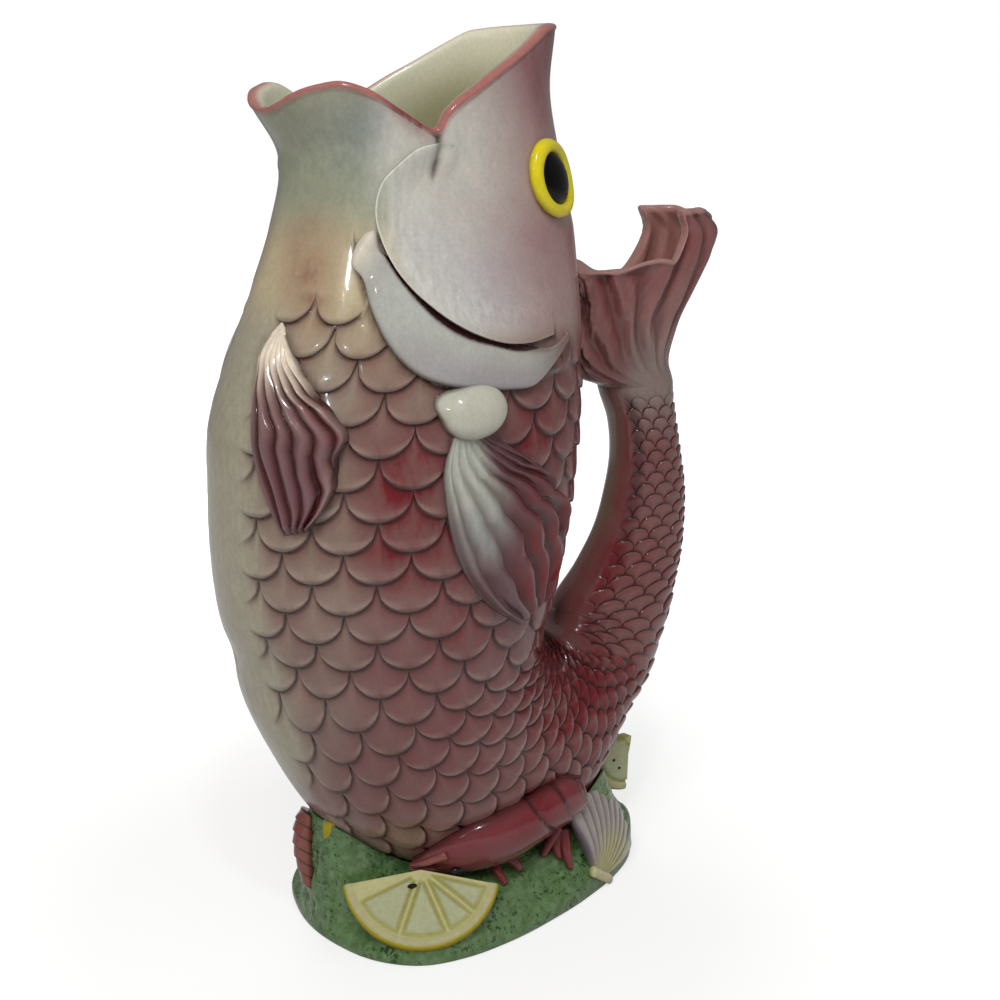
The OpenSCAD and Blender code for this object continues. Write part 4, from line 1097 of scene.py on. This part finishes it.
def pelvic_fin(clay, side):
    """Pelvic fin: deep narrow flutes that sweep back and end in a curled, ragged edge, s = 1. The
    right one lies further back than the left and is thinner in front."""
    t, s, turn, share = fin_grid(pelvic_front, pelvic_front_levels, pelvic_back, pelvic_back_levels,
                                 130, 0.04, 3.0, 0.06)
    back, lead = (right_pelvic_back, 0.3) if side > 0 else (0, 0.7)
    phase = pelvic_flutes * s / (1 + t) + 0.45 + 0.14 * crumple(s * 7, t * 5, 23)
    wave = flutes(phase, 1.4)
    edge = ease(s / 0.12) * fade(s, 1, 0.965)
    curl = 1.7 * fade(s, 0.78, 0.98) * fade(t, 0.4, 0.7) * (0.6 + 0.4 * np.sin(t * 34))
    body = (pelvic_front_body + 2.2 * ease(s * 1.2)) * (0.1 + 0.9 * ease(t * 3)) + curl
    height = seat_gap + (body + pelvic_relief * ease(t * 3) * (wave - 0.5)) * edge
    height = np.minimum(height * fade(t, 1.01, 0.95), 6.0) * mix(lead, 1, s) - 0.5
    # The pale line along the curled back edge is a painted highlight on its ridge
    paint = coats(tint(pelvic_taupe, s.shape),
                  (pelvic_cream, fade(t, 0.46, 0.16)),
                  (pelvic_violet, 0.8 * fade(t, 0.4, 0.8)),
                  (pelvic_ridge_highlight, 0.5 * bell((s - 0.94) / 0.05) * fade(t, 0.2, 0.4)))
    wash = 0.08 + 0.42 * (1 - wave) * fade(t, 0.1, 0.35) + 0.16 * fade(t, 0.55, 0.85)
    wash = wash + 0.5 * bell((s - 0.84) / 0.1) * fade(t, 0.35, 0.55) * (1 - wave)
    wash = wash - 0.2 * fade(t, 0.25, 0.05)
    # Pooled colour and painted shade in the valleys, along the back edge and in the curl
    crevice = (1 - wave) ** 1.5 * fade(t, 0.1, 0.35) + 0.6 * bell((1 - s) / 0.02)
    crevice = crevice + 0.7 * bell((s - 0.8) / 0.08) * fade(t, 0.62, 0.77) * (1 - wave)
    flank_patch(clay, side, turn - back, share, height, paint, np.clip(wash, 0, 1), np.clip(crevice, 0, 0.9))


# Eyes
eye_turn = 53.5
eye_share = 0.765
eye_r = 11.2
eye_bead_r = 2.4
pupil_r = 9.4
pupil_rise = 4.3


def eye_place(side, r, angle, out):
    """Place about the eye's middle, by millimetres from it, turn round it and height over the skin."""
    z = level_z(eye_share)
    turn = eye_turn + r * cos(angle) / degree_length(eye_turn, z)
    return level_point(side * turn, z + r * sin(angle), out + 0 * angle)


def eye_ring(clay, side):
    """Eye ring: a round ring with a full round cross-section, with painted shade where it meets skin and
    pupil.
    """
    angle = np.arange(0, 360, 3.0)
    around = np.arange(0, 360, 12.0)[:, None]
    out = 1.1 + eye_bead_r * sin(around)
    points = eye_place(side, eye_r + eye_bead_r * cos(around), angle, out)
    quads = ring_quads(*points.shape[:2], wrap_rows=True)
    shade = 0.45 * bell(fold(around - 180) / 34) + 0.3 * bell(fold(around) / 30)
    clay.add(points, quads if side < 0 else quads[:, ::-1], eye_yellow, 0.0, shade * fade(out, 1.6, 0.4))


def pupil(clay, side):
    """Pupil: a dome, half an ellipse in section, over a skirt that goes down into the wall."""
    angle = np.arange(0, 360, 3.0)
    share = np.concatenate([[1.0], np.linspace(1, 0.05, 20)])[:, None]
    height = seat_gap + pupil_rise * arch(share)
    height[0] = -2.5
    clay.rings(eye_place(side, share * pupil_r, angle, height), pupil_black, -1, flip=side > 0)


# Mound with the lemons and the shell on it
base_x = foot_reach * 0.28
recess_x = foot_reach * 0.47
recess_lip = 0.6
recess_profile = [(recess_r + recess_lip, 0.0), (recess_r, recess_lip), (recess_r - recess_lip, recess_depth),
                  (recess_r * 0.5, recess_depth)]
seat_low, seat_high = 30.0, 110.0
seat_turn_shares = [0, 0.09, 0.122, 0.161, 0.217, 0.278, 0.289, 0.222, 0]
foot_turns = [180, 171, 160, 138, 98, 56, 34, 17, 0]
foot_shares = [0.97, 0.87, 0.74, 0.64, 0.585, 0.563, 0.575, 0.615, 0.685, 0.762, 0.79, 0.785, 0.785]
slice_r = 29.5
slice_t = 5
far_slice_r = slice_r * 0.7
wedge_r = 24
near_slice_place = [foot_reach * -0.121, foot_reach * -0.313, foot_edge * 6.4]
tail_wedge_place = [foot_reach * 1.226, foot_reach * -0.024, wedge_r * 1.91]
hinge_place = [foot_reach * 0.754, foot_reach * -0.44, foot_edge * 1.05]
shell_reach = 35
shell_spread = 112  # angle from the first rib to the last
shell_ribs = 10
shell_arch = 6
hinge_half_l = 8

# Where a slice of lemon changes, as shares of its radius
pulp_from, pulp_to, pith_from, rind_round = 0.16, 0.84, 0.86, 0.94


def side_of(u):
    """Side of the mound at a turn: 1 or -1."""
    return np.where((u % 360 > 0) & (u % 360 < 180), 1.0, -1.0)


def seat_point(u, share, out=0.75):
    """Line on the fish's underside where the mound meets it, share 1, and inside that line."""
    swing = mix(68, mix(seat_low, seat_high, (1 - cos(u)) / 2), share)
    turn = 180 * along(seat_turn_shares, fold(u) / 180) * share
    return fan_point(180 + side_of(u) * turn, swing, out)


def foot_turn(u):
    """Turn at which the foot is reached from a turn of the seat line, a smooth curve."""
    return along(foot_turns, fold(u) / 180)


def foot_point(u, z, inward=0.0):
    """Outline of the foot: reach from the middle of the base as a smooth curve of the turn."""
    turn = foot_turn(u)
    far = foot_reach * along(foot_shares, turn / 180) - inward
    return stack(base_x + far * cos(turn), -side_of(u) * far * sin(turn), z)


def edge_z(u):
    """Top of the foot's upright edge, three times as high under the tail."""
    return foot_edge * (1 + 2 * ((1 + cos(foot_turn(u))) / 2) ** 3)


def mound_point(u, share, out):
    """Slope of the mound from the fish down to the foot's edge, hollow near the fish."""
    a, b = seat_point(u, 1.0), foot_point(u, edge_z(u))
    turn = foot_turn(u)
    away = stack(cos(turn) * 0.8, -side_of(u) * sin(turn) * 0.8, 0.6)
    level = mix(b[..., 2], a[..., 2], np.maximum(1 - share, 0) ** 1.3)
    flat = mix(a[..., :2], b[..., :2], np.asarray(share)[..., None] if np.ndim(share) else share)
    bed = 10 * ease(1 - np.abs(u - 76) / 28) * sin(180 * np.clip(share, 0, 1) ** 1.3)
    return np.concatenate([flat, level[..., None]], -1) + away * np.asarray(out + bed)[..., None]


def turned(points, z, x=0.0):
    """Turns points about X, then about Z, in degrees."""
    for angle, i, j in ((x, 1, 2), (z, 0, 1)):
        p = points.copy()
        p[..., i] = cos(angle) * points[..., i] - sin(angle) * points[..., j]
        p[..., j] = sin(angle) * points[..., i] + cos(angle) * points[..., j]
        points = p
    return points


def near_slice(points):
    """Leans a slice on the near slope of the mound."""
    return turned(turned(points, z=10), x=43.7, z=-31) + near_slice_place


def far_slice(points):
    """Stands a quarter slice on edge in the front of the mound, its rind outward."""
    out = [far_slice_r, far_slice_r * 0.25, 0]
    return turned(points + out, x=90, z=56) + mound_point(13.0, 0.11, 1.5)


def tail_wedge(points):
    """Stands the lemon wedge under the tail."""
    return turned(turned(points, z=-8), x=90, z=10) + tail_wedge_place


def lean_shell(points):
    """Leans the shell on the mound's near edge, hinge down."""
    return turned(turned(points, z=-36), x=75.7, z=31.8) + hinge_place


def make_mound(material):
    """Mound: lumpy slopes from the fish to the foot, the upright edge, and the recess under the foot."""
    clay = Clay()
    u = (np.arange(288) + 0.5) * 360 / 288
    seat = seat_point(u[None], np.array([0.05, 0.3, 0.6, 0.85, 0.97])[:, None], 0.0)
    share = np.linspace(0.0, 1, 40)[:, None]
    lump = crumple(u[None] / 14, share * 5, 3) * 0.9 + crumple(u[None] / 4.5, share * 14, 8) * 0.45
    lump = lump * ease(share * 4 + 0.2) * ease((1 - share) * 5) - 0.4
    slope = mound_point(u[None], share + 0 * u, lump)
    edge_heights = np.stack([edge_z(u) * 0.72, edge_z(u) * 0.3, 0 * u + 0.5, 0 * u])
    edge = foot_point(u[None], edge_heights, np.array([0, 0, 0.2, 0.9])[:, None])
    angle = np.degrees(np.arctan2(edge[-1, :, 1], edge[-1, :, 0] - recess_x))
    r, z = np.array(recess_profile).T[:, :, None]
    under = stack(recess_x + r * cos(angle), r * sin(angle), z)
    rings = np.concatenate([seat, slope, edge, under])
    shape = rings.shape[:-1]
    mossy = crumple(rings[..., 0] / 9, rings[..., 1] / 9, 21)
    # Painted shade on the moss next to the fish
    shade_near_fish = np.zeros((len(rings), 1))
    shade_near_fish[len(seat):len(seat) + len(slope)] = bell(share / 0.1)
    bottom = np.zeros(shape)
    bottom[-len(under):] = 1
    paint = coats(tint(moss_green, shape),
                  (moss_deep, ease(mossy * 0.7 + 0.35) * 0.7),
                  (moss_shade, 0.6 * shade_near_fish + np.zeros(shape)),
                  (moss_pale, dabs(rings, *moss_pale_dabs)),
                  (bare_clay, bottom))
    clay.rings(rings, paint)
    fire("base_mound", clay, material, "moss_green_glaze", "base_mound")


def make_slice(place, radius, wedge, marks):
    """Slice of lemon: a disc sector whose top swells in each segment, between the skins at the marked
    angles, then the pith and the rounded rind. The swelling is a smooth step of the distance from the
    nearest skin, and the rind falls off as a quarter of an ellipse."""
    clay = Clay()
    r = np.concatenate([np.linspace(0.0, pith_from, 44), np.linspace(pith_from + 0.02, 1.0, 16)])
    r, angle = np.meshgrid(r, np.linspace(0, wedge, 190), indexing="ij")
    nearest = np.min(np.abs(angle[..., None] - marks), -1)
    within = (angle > marks[0]) & (angle < marks[-1])
    from_skin = np.where(within, 1, -1) * np.radians(nearest) * r * radius - 1.0
    inside = np.minimum(from_skin, np.minimum(r - pulp_from, pulp_to - r) * radius)
    pulp = ease(inside / 1.6)
    groove = bell((inside - 0.1) / 0.5)
    swelling = np.where(r > pith_from, 0.4 * fade(r, pith_from, 0.91), 0.75 * pulp - 0.6 * groove)
    height = slice_t * 0.86 + swelling
    rounded = np.maximum((r - rind_round) / (1 - rind_round), 0)
    height = height - slice_t * 0.3 * (1 - arch(rounded))
    top = stack(-r * radius * cos(angle), -r * radius * sin(angle), height)
    paint = coats(tint(lemon_flesh, r.shape),
                  (lemon_pulp, pulp),
                  (lemon_skin, 0.8 * groove),
                  (lemon_pith, fade(r, 0.87, 0.91)),
                  (lemon_rind, fade(r, 0.962, 0.982)))
    clay.slab(place(top), place(top * [1, 1, 0]), paint, flip=True)
    return clay


def ball(clay, place, middle, half_sizes, levels, colour):
    """Ellipsoid about a middle, as rings at the given latitudes."""
    a, e = np.arange(0, 360, 30.0), np.array(levels)[:, None]
    p = stack(cos(e) * cos(a), cos(e) * sin(a), sin(e)) * half_sizes + middle
    clay.rings(place(p), colour, flip=True)


# Angles of the skins between the segments, and seeds by their middles and half sizes
near_skins = [15, 61, 103, 130, 156]
far_skins = [3, 32, 60, 87]
wedge_skins = [-6, 96]
seed_levels = [-75, -40, 0, 40, 75]
near_seeds = [((-4.4, -5.6, 5.0), (1.9, 0.9, 0.54))]
wedge_seeds = [((-10.5, -9.0, 5.1), (0.9, 0.6, 0.36)), ((-6.5, -13.0, 5.1), (0.9, 0.6, 0.36))]


def make_lemons(material):
    """Three pieces of lemon, with the small dark seeds that show in their cut faces."""
    for name, place, radius, wedge, marks, seeds in (
            ("lemon_slice_near", near_slice, slice_r, 158, near_skins, near_seeds),
            ("lemon_slice_far", far_slice, far_slice_r, 90, far_skins, []),
            ("lemon_wedge_tail", tail_wedge, wedge_r, 90, wedge_skins, wedge_seeds)):
        clay = make_slice(place, radius, wedge, marks)
        for middle, half_sizes in seeds:
            ball(clay, place, middle, half_sizes, seed_levels, seed_brown)
        fire(name, clay, material, "lemon_glaze", name)


def make_scallop(material):
    """Scallop: a fan of rounded ribs that arches from the hinge, t = 0, to a waved rim. Each rib is a
    power of a half wave, and the arch is a sine of t."""
    clay = Clay()
    t, s = unit_grid(50, 160)
    rib = np.abs(np.sin(math.pi * s * shell_ribs)) ** 0.7
    far = shell_reach * mix(0.12, 1, t) * (1 + 0.03 * rib * t)
    angle = (s - 0.5) * shell_spread
    dome = shell_arch * (0.22 + sin(mix(18, 158, t))) * 0.78 * cos(angle * 0.9)
    top = stack(far * sin(angle), far * cos(angle), np.maximum(dome * (0.84 + 0.16 * rib), 0.2))
    low = top * [1, 1, 0] - [0, 0, 0.3]
    paint = coats(tint(shell_sand, s.shape),
                  (shell_mauve, ease((t - 0.25 - 0.7 * (s - 0.5)) / 0.5)),
                  (shell_rib, 0.35 * rib * ease(t * 2)))
    # Pooled colour and painted shade between the ribs
    crevice = 0.6 * (1 - rib) ** 1.3 * ease(t * 2)
    clay.slab(lean_shell(top), lean_shell(low), paint, 0.0, crevice)
    hinge = hinge_half_l * mix(-1, 1, np.linspace(0, 1, 9)[:, None])
    a = np.arange(0, 360, 30.0)
    ear = stack(hinge, 2.6 + 2.2 * cos(a), 1.6 + 1.6 * sin(a))
    clay.rings(lean_shell(ear), shell_hinge, flip=True)
    fire("scallop_shell", clay, material, "shell_glaze", "scallop_shell")


# Prawns
prawn_swings = [47, 45.5, 46, 49.5, 56, 64.5, 76, 87.5]
prawn_turns = [150, 134, 121, 111, 103, 98, 96, 102]
prawn_low_swings = [48, 56, 63, 70, 76, 81.5, 86.5, 90.5]
prawn_low_turns = [153, 147, 140.5, 134.5, 129, 125, 122, 118]
prawn_shares = [0.22, 0.5, 0.8, 1, 1, 0.95, 0.85, 0.6]
prawn_rings_from = 0.63
prawn_ring_count = 2.6
prawn_size = 11

# Spikes of the beak: place across the prawn at the root, then t, s of the tip and height before it
beak_spikes = [(0.12, -0.07, 0.1, 3.0), (0.5, -0.085, 0.45, 3.6), (0.85, -0.06, 0.75, 3.0)]

# Legs by turn, share of the slope and height over it at three places
prawn_legs = [[(82.5, 0.06, 4), (84, 0.2, 4), (86.5, 0.4, 1.2)],
              [(86, 0.08, 5), (89.5, 0.2, 3.6), (91.5, 0.31, 1)],
              [(104.5, 0.05, 6), (102, 0.16, 4.5), (100, 0.28, 1.6)],
              [(105, 0.08, 5), (104.5, 0.26, 3.5), (107, 0.42, 1)],
              [(106.5, 0.1, 6), (107.5, 0.38, 4), (110, 0.62, 1)]]


def prawn_place(t, s, out):
    """Place on the prawn's bed: t from its head to its tail, s from its back down to its legs."""
    return fan_point(-mix(along(prawn_turns, t), along(prawn_low_turns, t), s),
                     mix(along(prawn_swings, t), along(prawn_low_swings, t), s), out)


def ring_line(phase, width):
    """1 where one tail ring ends and the next begins, falling off over the width."""
    return bell(((phase + 0.5) % 1 - 0.5) / width)


def limb(clay, places, thick, thin, paint, wash):
    """Round limb along a smooth line through a few places, tapering from thick to thin."""
    places = np.array(places, float)
    t = np.linspace(0, 1, 14)
    path = np.stack([along(places[:, k], t) for k in range(3)], -1)
    ahead = np.gradient(path, axis=0)
    ahead /= np.linalg.norm(ahead, axis=1)[:, None]
    up = np.cross(ahead, [0.3, 0.2, 0.93])
    up /= np.linalg.norm(up, axis=1)[:, None]
    across = np.cross(ahead, up)
    a = np.arange(0, 360, 36)[:, None]
    r = mix(thick, thin, t)[:, None, None]
    clay.rings(path[:, None] + r * (up[:, None] * cos(a) + across[:, None] * sin(a)), paint, wash, flip=True)


def make_prawn_near(material):
    """Prawn: a domed shell, overlapping tail rings, a forked beak, an eye and bent legs. The dome is
    the root of a half wave across it, and each ring rises along its length and drops at its end."""
    clay = Clay()
    t, s = unit_grid(150, 44)
    swell = np.maximum(0.12, hump(s))
    phase = (t - prawn_rings_from - 0.06 * s) / (1 - prawn_rings_from) * prawn_ring_count
    ringed = fade(phase, -0.08, 0)
    overlap = ringed * (phase % 1 - 0.5) - 0.9 * bell(phase / 0.1)
    height = seat_gap + (prawn_size * along(prawn_shares, t) * 0.95 + overlap) * swell
    beak = fade(t, 0.24, 0.04)
    forks = lambda width: bell((s - 0.36) / width) + bell((s - 0.7) / width)
    height = height * fade(t, 1.01, 0.96) - 1.6 * beak * forks(0.07) * ease(t / 0.05)
    paint = over(tint(prawn_red, s.shape), prawn_belly,
                 fade(s, 0.82, 0.92) * fade(t, 0.75, 0.55) * fade(t, 0.2, 0.3))
    wash = 0.2 + 0.3 * bell((s - 0.1) / 0.16) + 0.3 * bell((t - 0.6) / 0.1) * bell((s - 0.3) / 0.3)
    wash = wash + 0.16 * ringed + 0.5 * bell((t - 0.14) / 0.07) * bell((s - 0.2) / 0.14)
    wash = wash - 0.1 * bell((s - 0.55) / 0.16) * fade(t, 0.6, 0.4)
    # Pooled colour and painted shade at the joins of the tail rings, along both edges where the prawn meets
    # the mound, and between the forks of the beak
    crevice = 0.9 * ringed * ring_line(phase, 0.08) + 0.6 * bell(s / 0.04) + 0.5 * bell((1 - s) / 0.05)
    crevice = crevice + 0.7 * beak * forks(0.06)
    clay.slab(prawn_place(t, s, height), prawn_place(t, s, -0.8), paint,
              np.clip(wash, 0, 1), np.clip(crevice, 0, 0.9))
    for s0, tip_t, tip_s, rise in beak_spikes:
        places = [(0.2, s0 + 0.02, 4.6), (0.1, s0, 4.0), (0.02, s0, rise), (tip_t, tip_s, 1.8)]
        limb(clay, [prawn_place(*place) for place in places], 1.7, 0.4, prawn_beak, 0.3)
    ball(clay, np.asarray, prawn_place(0.23, 0.44, 7.9), (2.8, 1.6, 1.4), [-70, -35, 0, 35, 70], prawn_eye)
    for steps in prawn_legs:
        limb(clay, [mound_point(*map(np.array, step)) for step in steps], 2.9, 1.2, prawn_leg, 0.4)
    fire("prawn_near", clay, material, "prawn_glaze", "prawn_near")


def make_prawn_far(material):
    """Tail of the second prawn: rings that overlap down the front of the mound."""
    clay = Clay()
    t, s = unit_grid(90, 30)
    phase = t * 6
    overlap = 1 + 0.15 * (phase % 1 - 0.5)
    swell = np.maximum(0.2, hump(s))
    height = 0.6 + prawn_size * 0.6 * along([0.5, 0.9, 1, 0.95, 0.7, 0.4], t) * swell * overlap
    u = mix(343, 351, t) + (s - 0.5) * 24 * mix(1, 0.6, t)
    share = mix(0.03, 0.62, t)
    wash = 0.35 + 0.3 * bell((s - 0.5) / 0.3)
    # Pooled colour and painted shade at the joins of the rings
    clay.slab(mound_point(u, share, height), mound_point(u, share, -1.0 + 0 * s),
              prawn_brown, wash, 0.8 * ring_line(phase, 0.1), flip=True)
    fire("prawn_far", clay, material, "prawn_glaze", "prawn_far")


# Stage, light and camera
def mix_shaders(tree, share, first, second):
    """Two shaders mixed by a share: 0 is all the first."""
    made = node(tree, "ShaderNodeMixShader")
    for socket, value in zip(made.inputs, (share, first.outputs[0], second.outputs[0])):
        tree.links.new(value, socket)
    return made


def seen_directly(tree, path):
    """1 for what the camera sees itself, straight or through glass."""
    return times(tree, path.outputs["Is Camera Ray"], path.outputs["Is Transmission Ray"], "MAXIMUM")


def make_floor():
    """White floor that keeps the pitcher's shadow: it glows less near the pitcher than far off."""
    bpy.ops.mesh.primitive_plane_add(size=6, location=(0, 0, 0))
    floor = bpy.context.object
    floor.name = "floor"
    material = bpy.data.materials.new("pale floor")
    material.use_nodes = True
    tree = material.node_tree
    tree.nodes.clear()
    out = node(tree, "ShaderNodeOutputMaterial")
    matt = node(tree, "ShaderNodeBsdfDiffuse", Color=(0.62, 0.62, 0.62, 1))
    seen = node(tree, "ShaderNodeBsdfDiffuse", Color=(0.35, 0.35, 0.35, 1))
    glow = node(tree, "ShaderNodeEmission", Color=(1, 1, 1, 1))
    away = node(tree, "ShaderNodeVectorMath", operation="LENGTH")
    tree.links.new(node(tree, "ShaderNodeTexCoord").outputs["Object"], away.inputs[0])
    tree.links.new(remap(tree, away.outputs["Value"], 0.12, 0.5, 0.64, 1.0), glow.inputs["Strength"])
    both = node(tree, "ShaderNodeAddShader")
    tree.links.new(seen.outputs[0], both.inputs[0])
    tree.links.new(glow.outputs[0], both.inputs[1])
    view = seen_directly(tree, node(tree, "ShaderNodeLightPath"))
    tree.links.new(mix_shaders(tree, view, matt, both).outputs[0], out.inputs[0])
    floor.data.materials.append(material)


def make_surround():
    """White behind the pitcher for the camera, dim for the reflections in the glaze, and warm light."""
    world = bpy.data.worlds.new("surround")
    bpy.context.scene.world = world
    world.use_nodes = True
    tree = world.node_tree
    tree.nodes.clear()
    out = node(tree, "ShaderNodeOutputWorld")
    plain = node(tree, "ShaderNodeBackground", Color=(1, 0.98, 0.95, 1), Strength=0.34)
    white = node(tree, "ShaderNodeBackground", Color=(1, 1, 1, 1), Strength=1.0)
    room = node(tree, "ShaderNodeBackground", Color=(1, 1, 1, 1), Strength=0.2)
    path = node(tree, "ShaderNodeLightPath")
    view = seen_directly(tree, path)
    lit = mix_shaders(tree, path.outputs["Is Glossy Ray"], plain, room)
    tree.links.new(mix_shaders(tree, view, lit, white).outputs[0], out.inputs[0])


def lamp(name, place, aim, size, power, colour, mirrored):
    """Soft square lamp at a place, turned toward an aim, mirrored in the glaze or not."""
    data = bpy.data.lights.new(name, "AREA")
    data.size = size
    data.energy = power
    data.color = colour
    made = bpy.data.objects.new(name, data)
    bpy.context.scene.collection.objects.link(made)
    made.visible_glossy = mirrored
    made.location = place
    x, y, z = (a - b for a, b in zip(aim, place))
    made.rotation_euler = (math.atan2(math.hypot(x, y), -z), 0, math.atan2(-x, y))


# Lamps by name, place, aim, size, power, colour and whether the glaze mirrors them
lamps = [("key", (-0.75, -0.75, 1.15), (0, 0, 0.17), 0.7, 12, (1, 0.97, 0.93), False),
         ("fill", (0.7, -0.9, 0.6), (0.02, 0, 0.16), 0.9, 2.2, (0.95, 0.97, 1), False),
         ("glint", (-0.25, -0.55, 1.15), (0, 0, 0.2), 0.09, 2.6, (0.9, 0.96, 1), True),
         ("side glint", (-0.8, -0.55, 0.75), (0, 0, 0.2), 0.05, 0.5, (0.95, 0.98, 1), True),
         ("back", (0.3, 0.9, 0.9), (0, 0, 0.2), 0.8, 4, (1, 1, 1), False)]

# The photograph's view: the heading is off +Y toward +X, the tilt is downward
camera_place = (-0.275, -0.4763, 0.308)
camera_heading = 33.75
camera_tilt = 14.75
camera_lens = 55.04


def make_lights():
    """Large soft key from the upper left front, a weak fill, two small lamps for the glints and a soft
    one behind."""
    for row in lamps:
        lamp(*row)


def make_camera():
    """Camera at the photograph's view."""
    data = bpy.data.cameras.new("camera")
    data.sensor_width = 36
    data.lens = camera_lens
    data.clip_start = 0.01
    camera = bpy.data.objects.new("camera", data)
    bpy.context.scene.collection.objects.link(camera)
    camera.location = camera_place
    camera.rotation_euler = (math.radians(90 - camera_tilt), 0, -math.radians(camera_heading))
    bpy.context.scene.camera = camera


make_camera()
make_lights()
make_floor()
make_surround()

skin_glaze = glaze("brushed body glaze", streak=0.13, speck=0.3, stretch=(1, 1, 0.45))
head_glaze = glaze("brushed head glaze", streak=0.17, speck=0.42, stretch=(1.2, 1.2, 0.06))
band_glaze = glaze("pale gill glaze", streak=0.1, speck=0.25, gloss=0.1, lumps=0.3, stretch=(1, 1, 0.4))
handle_glaze = glaze("red handle glaze", streak=0.12, speck=0.25, stretch=(1, 1, 0.2))
fin_glaze = glaze("fin glaze", streak=0.14, speck=0.25, stretch=(1, 1, 0.3))
cream_glaze = glaze("cream glaze", streak=0.06, speck=0.1)
yellow_glaze = glaze("eye yellow glaze", streak=0.05, line=eye_line_and_shade)
black_glaze = glaze("pupil black glaze", streak=0.02, gloss=0.1, coat=0.0, level=0.3)
moss_glaze = glaze("sponged green glaze", streak=0.08, gloss=0.2, stretch=(1, 1, 1), coat=0.2,
                   sponge=(moss_light_speck, moss_dark_speck))
lemon_glaze = glaze("lemon glaze", streak=0.08, gloss=0.44, stretch=(1, 1, 1), coat=0.0, level=0.3)
shell_glaze = glaze("shell glaze", streak=0.08, line=shell_line_and_shade, stretch=(1, 1, 1))
prawn_glaze = glaze("prawn glaze", streak=0.12, stretch=(1, 1, 1))

make_trunk(skin_glaze)
make_handle(handle_glaze)
make_tail_fin(handle_glaze)
make_pairs(("gill_cover_", gill_cover, head_glaze, "head_glaze"))
make_pairs(("gill_band_", gill_band, band_glaze, "head_glaze"))
make_pairs(("fin_root_", fin_root, cream_glaze, "cream_glaze"))
make_pairs(("pectoral_fin_", pectoral_fin, fin_glaze, "fin_glaze"))
make_pairs(("pelvic_fin_", pelvic_fin, fin_glaze, "fin_glaze"))
make_pairs(("eye_ring_", eye_ring, yellow_glaze, "eye_yellow_glaze"),
           ("pupil_", pupil, black_glaze, "pupil_black_glaze"))
make_mound(moss_glaze)
make_lemons(lemon_glaze)
make_scallop(shell_glaze)
make_prawn_near(prawn_glaze)
make_prawn_far(prawn_glaze)

bpy.context.scene.view_settings.view_transform = "Standard"
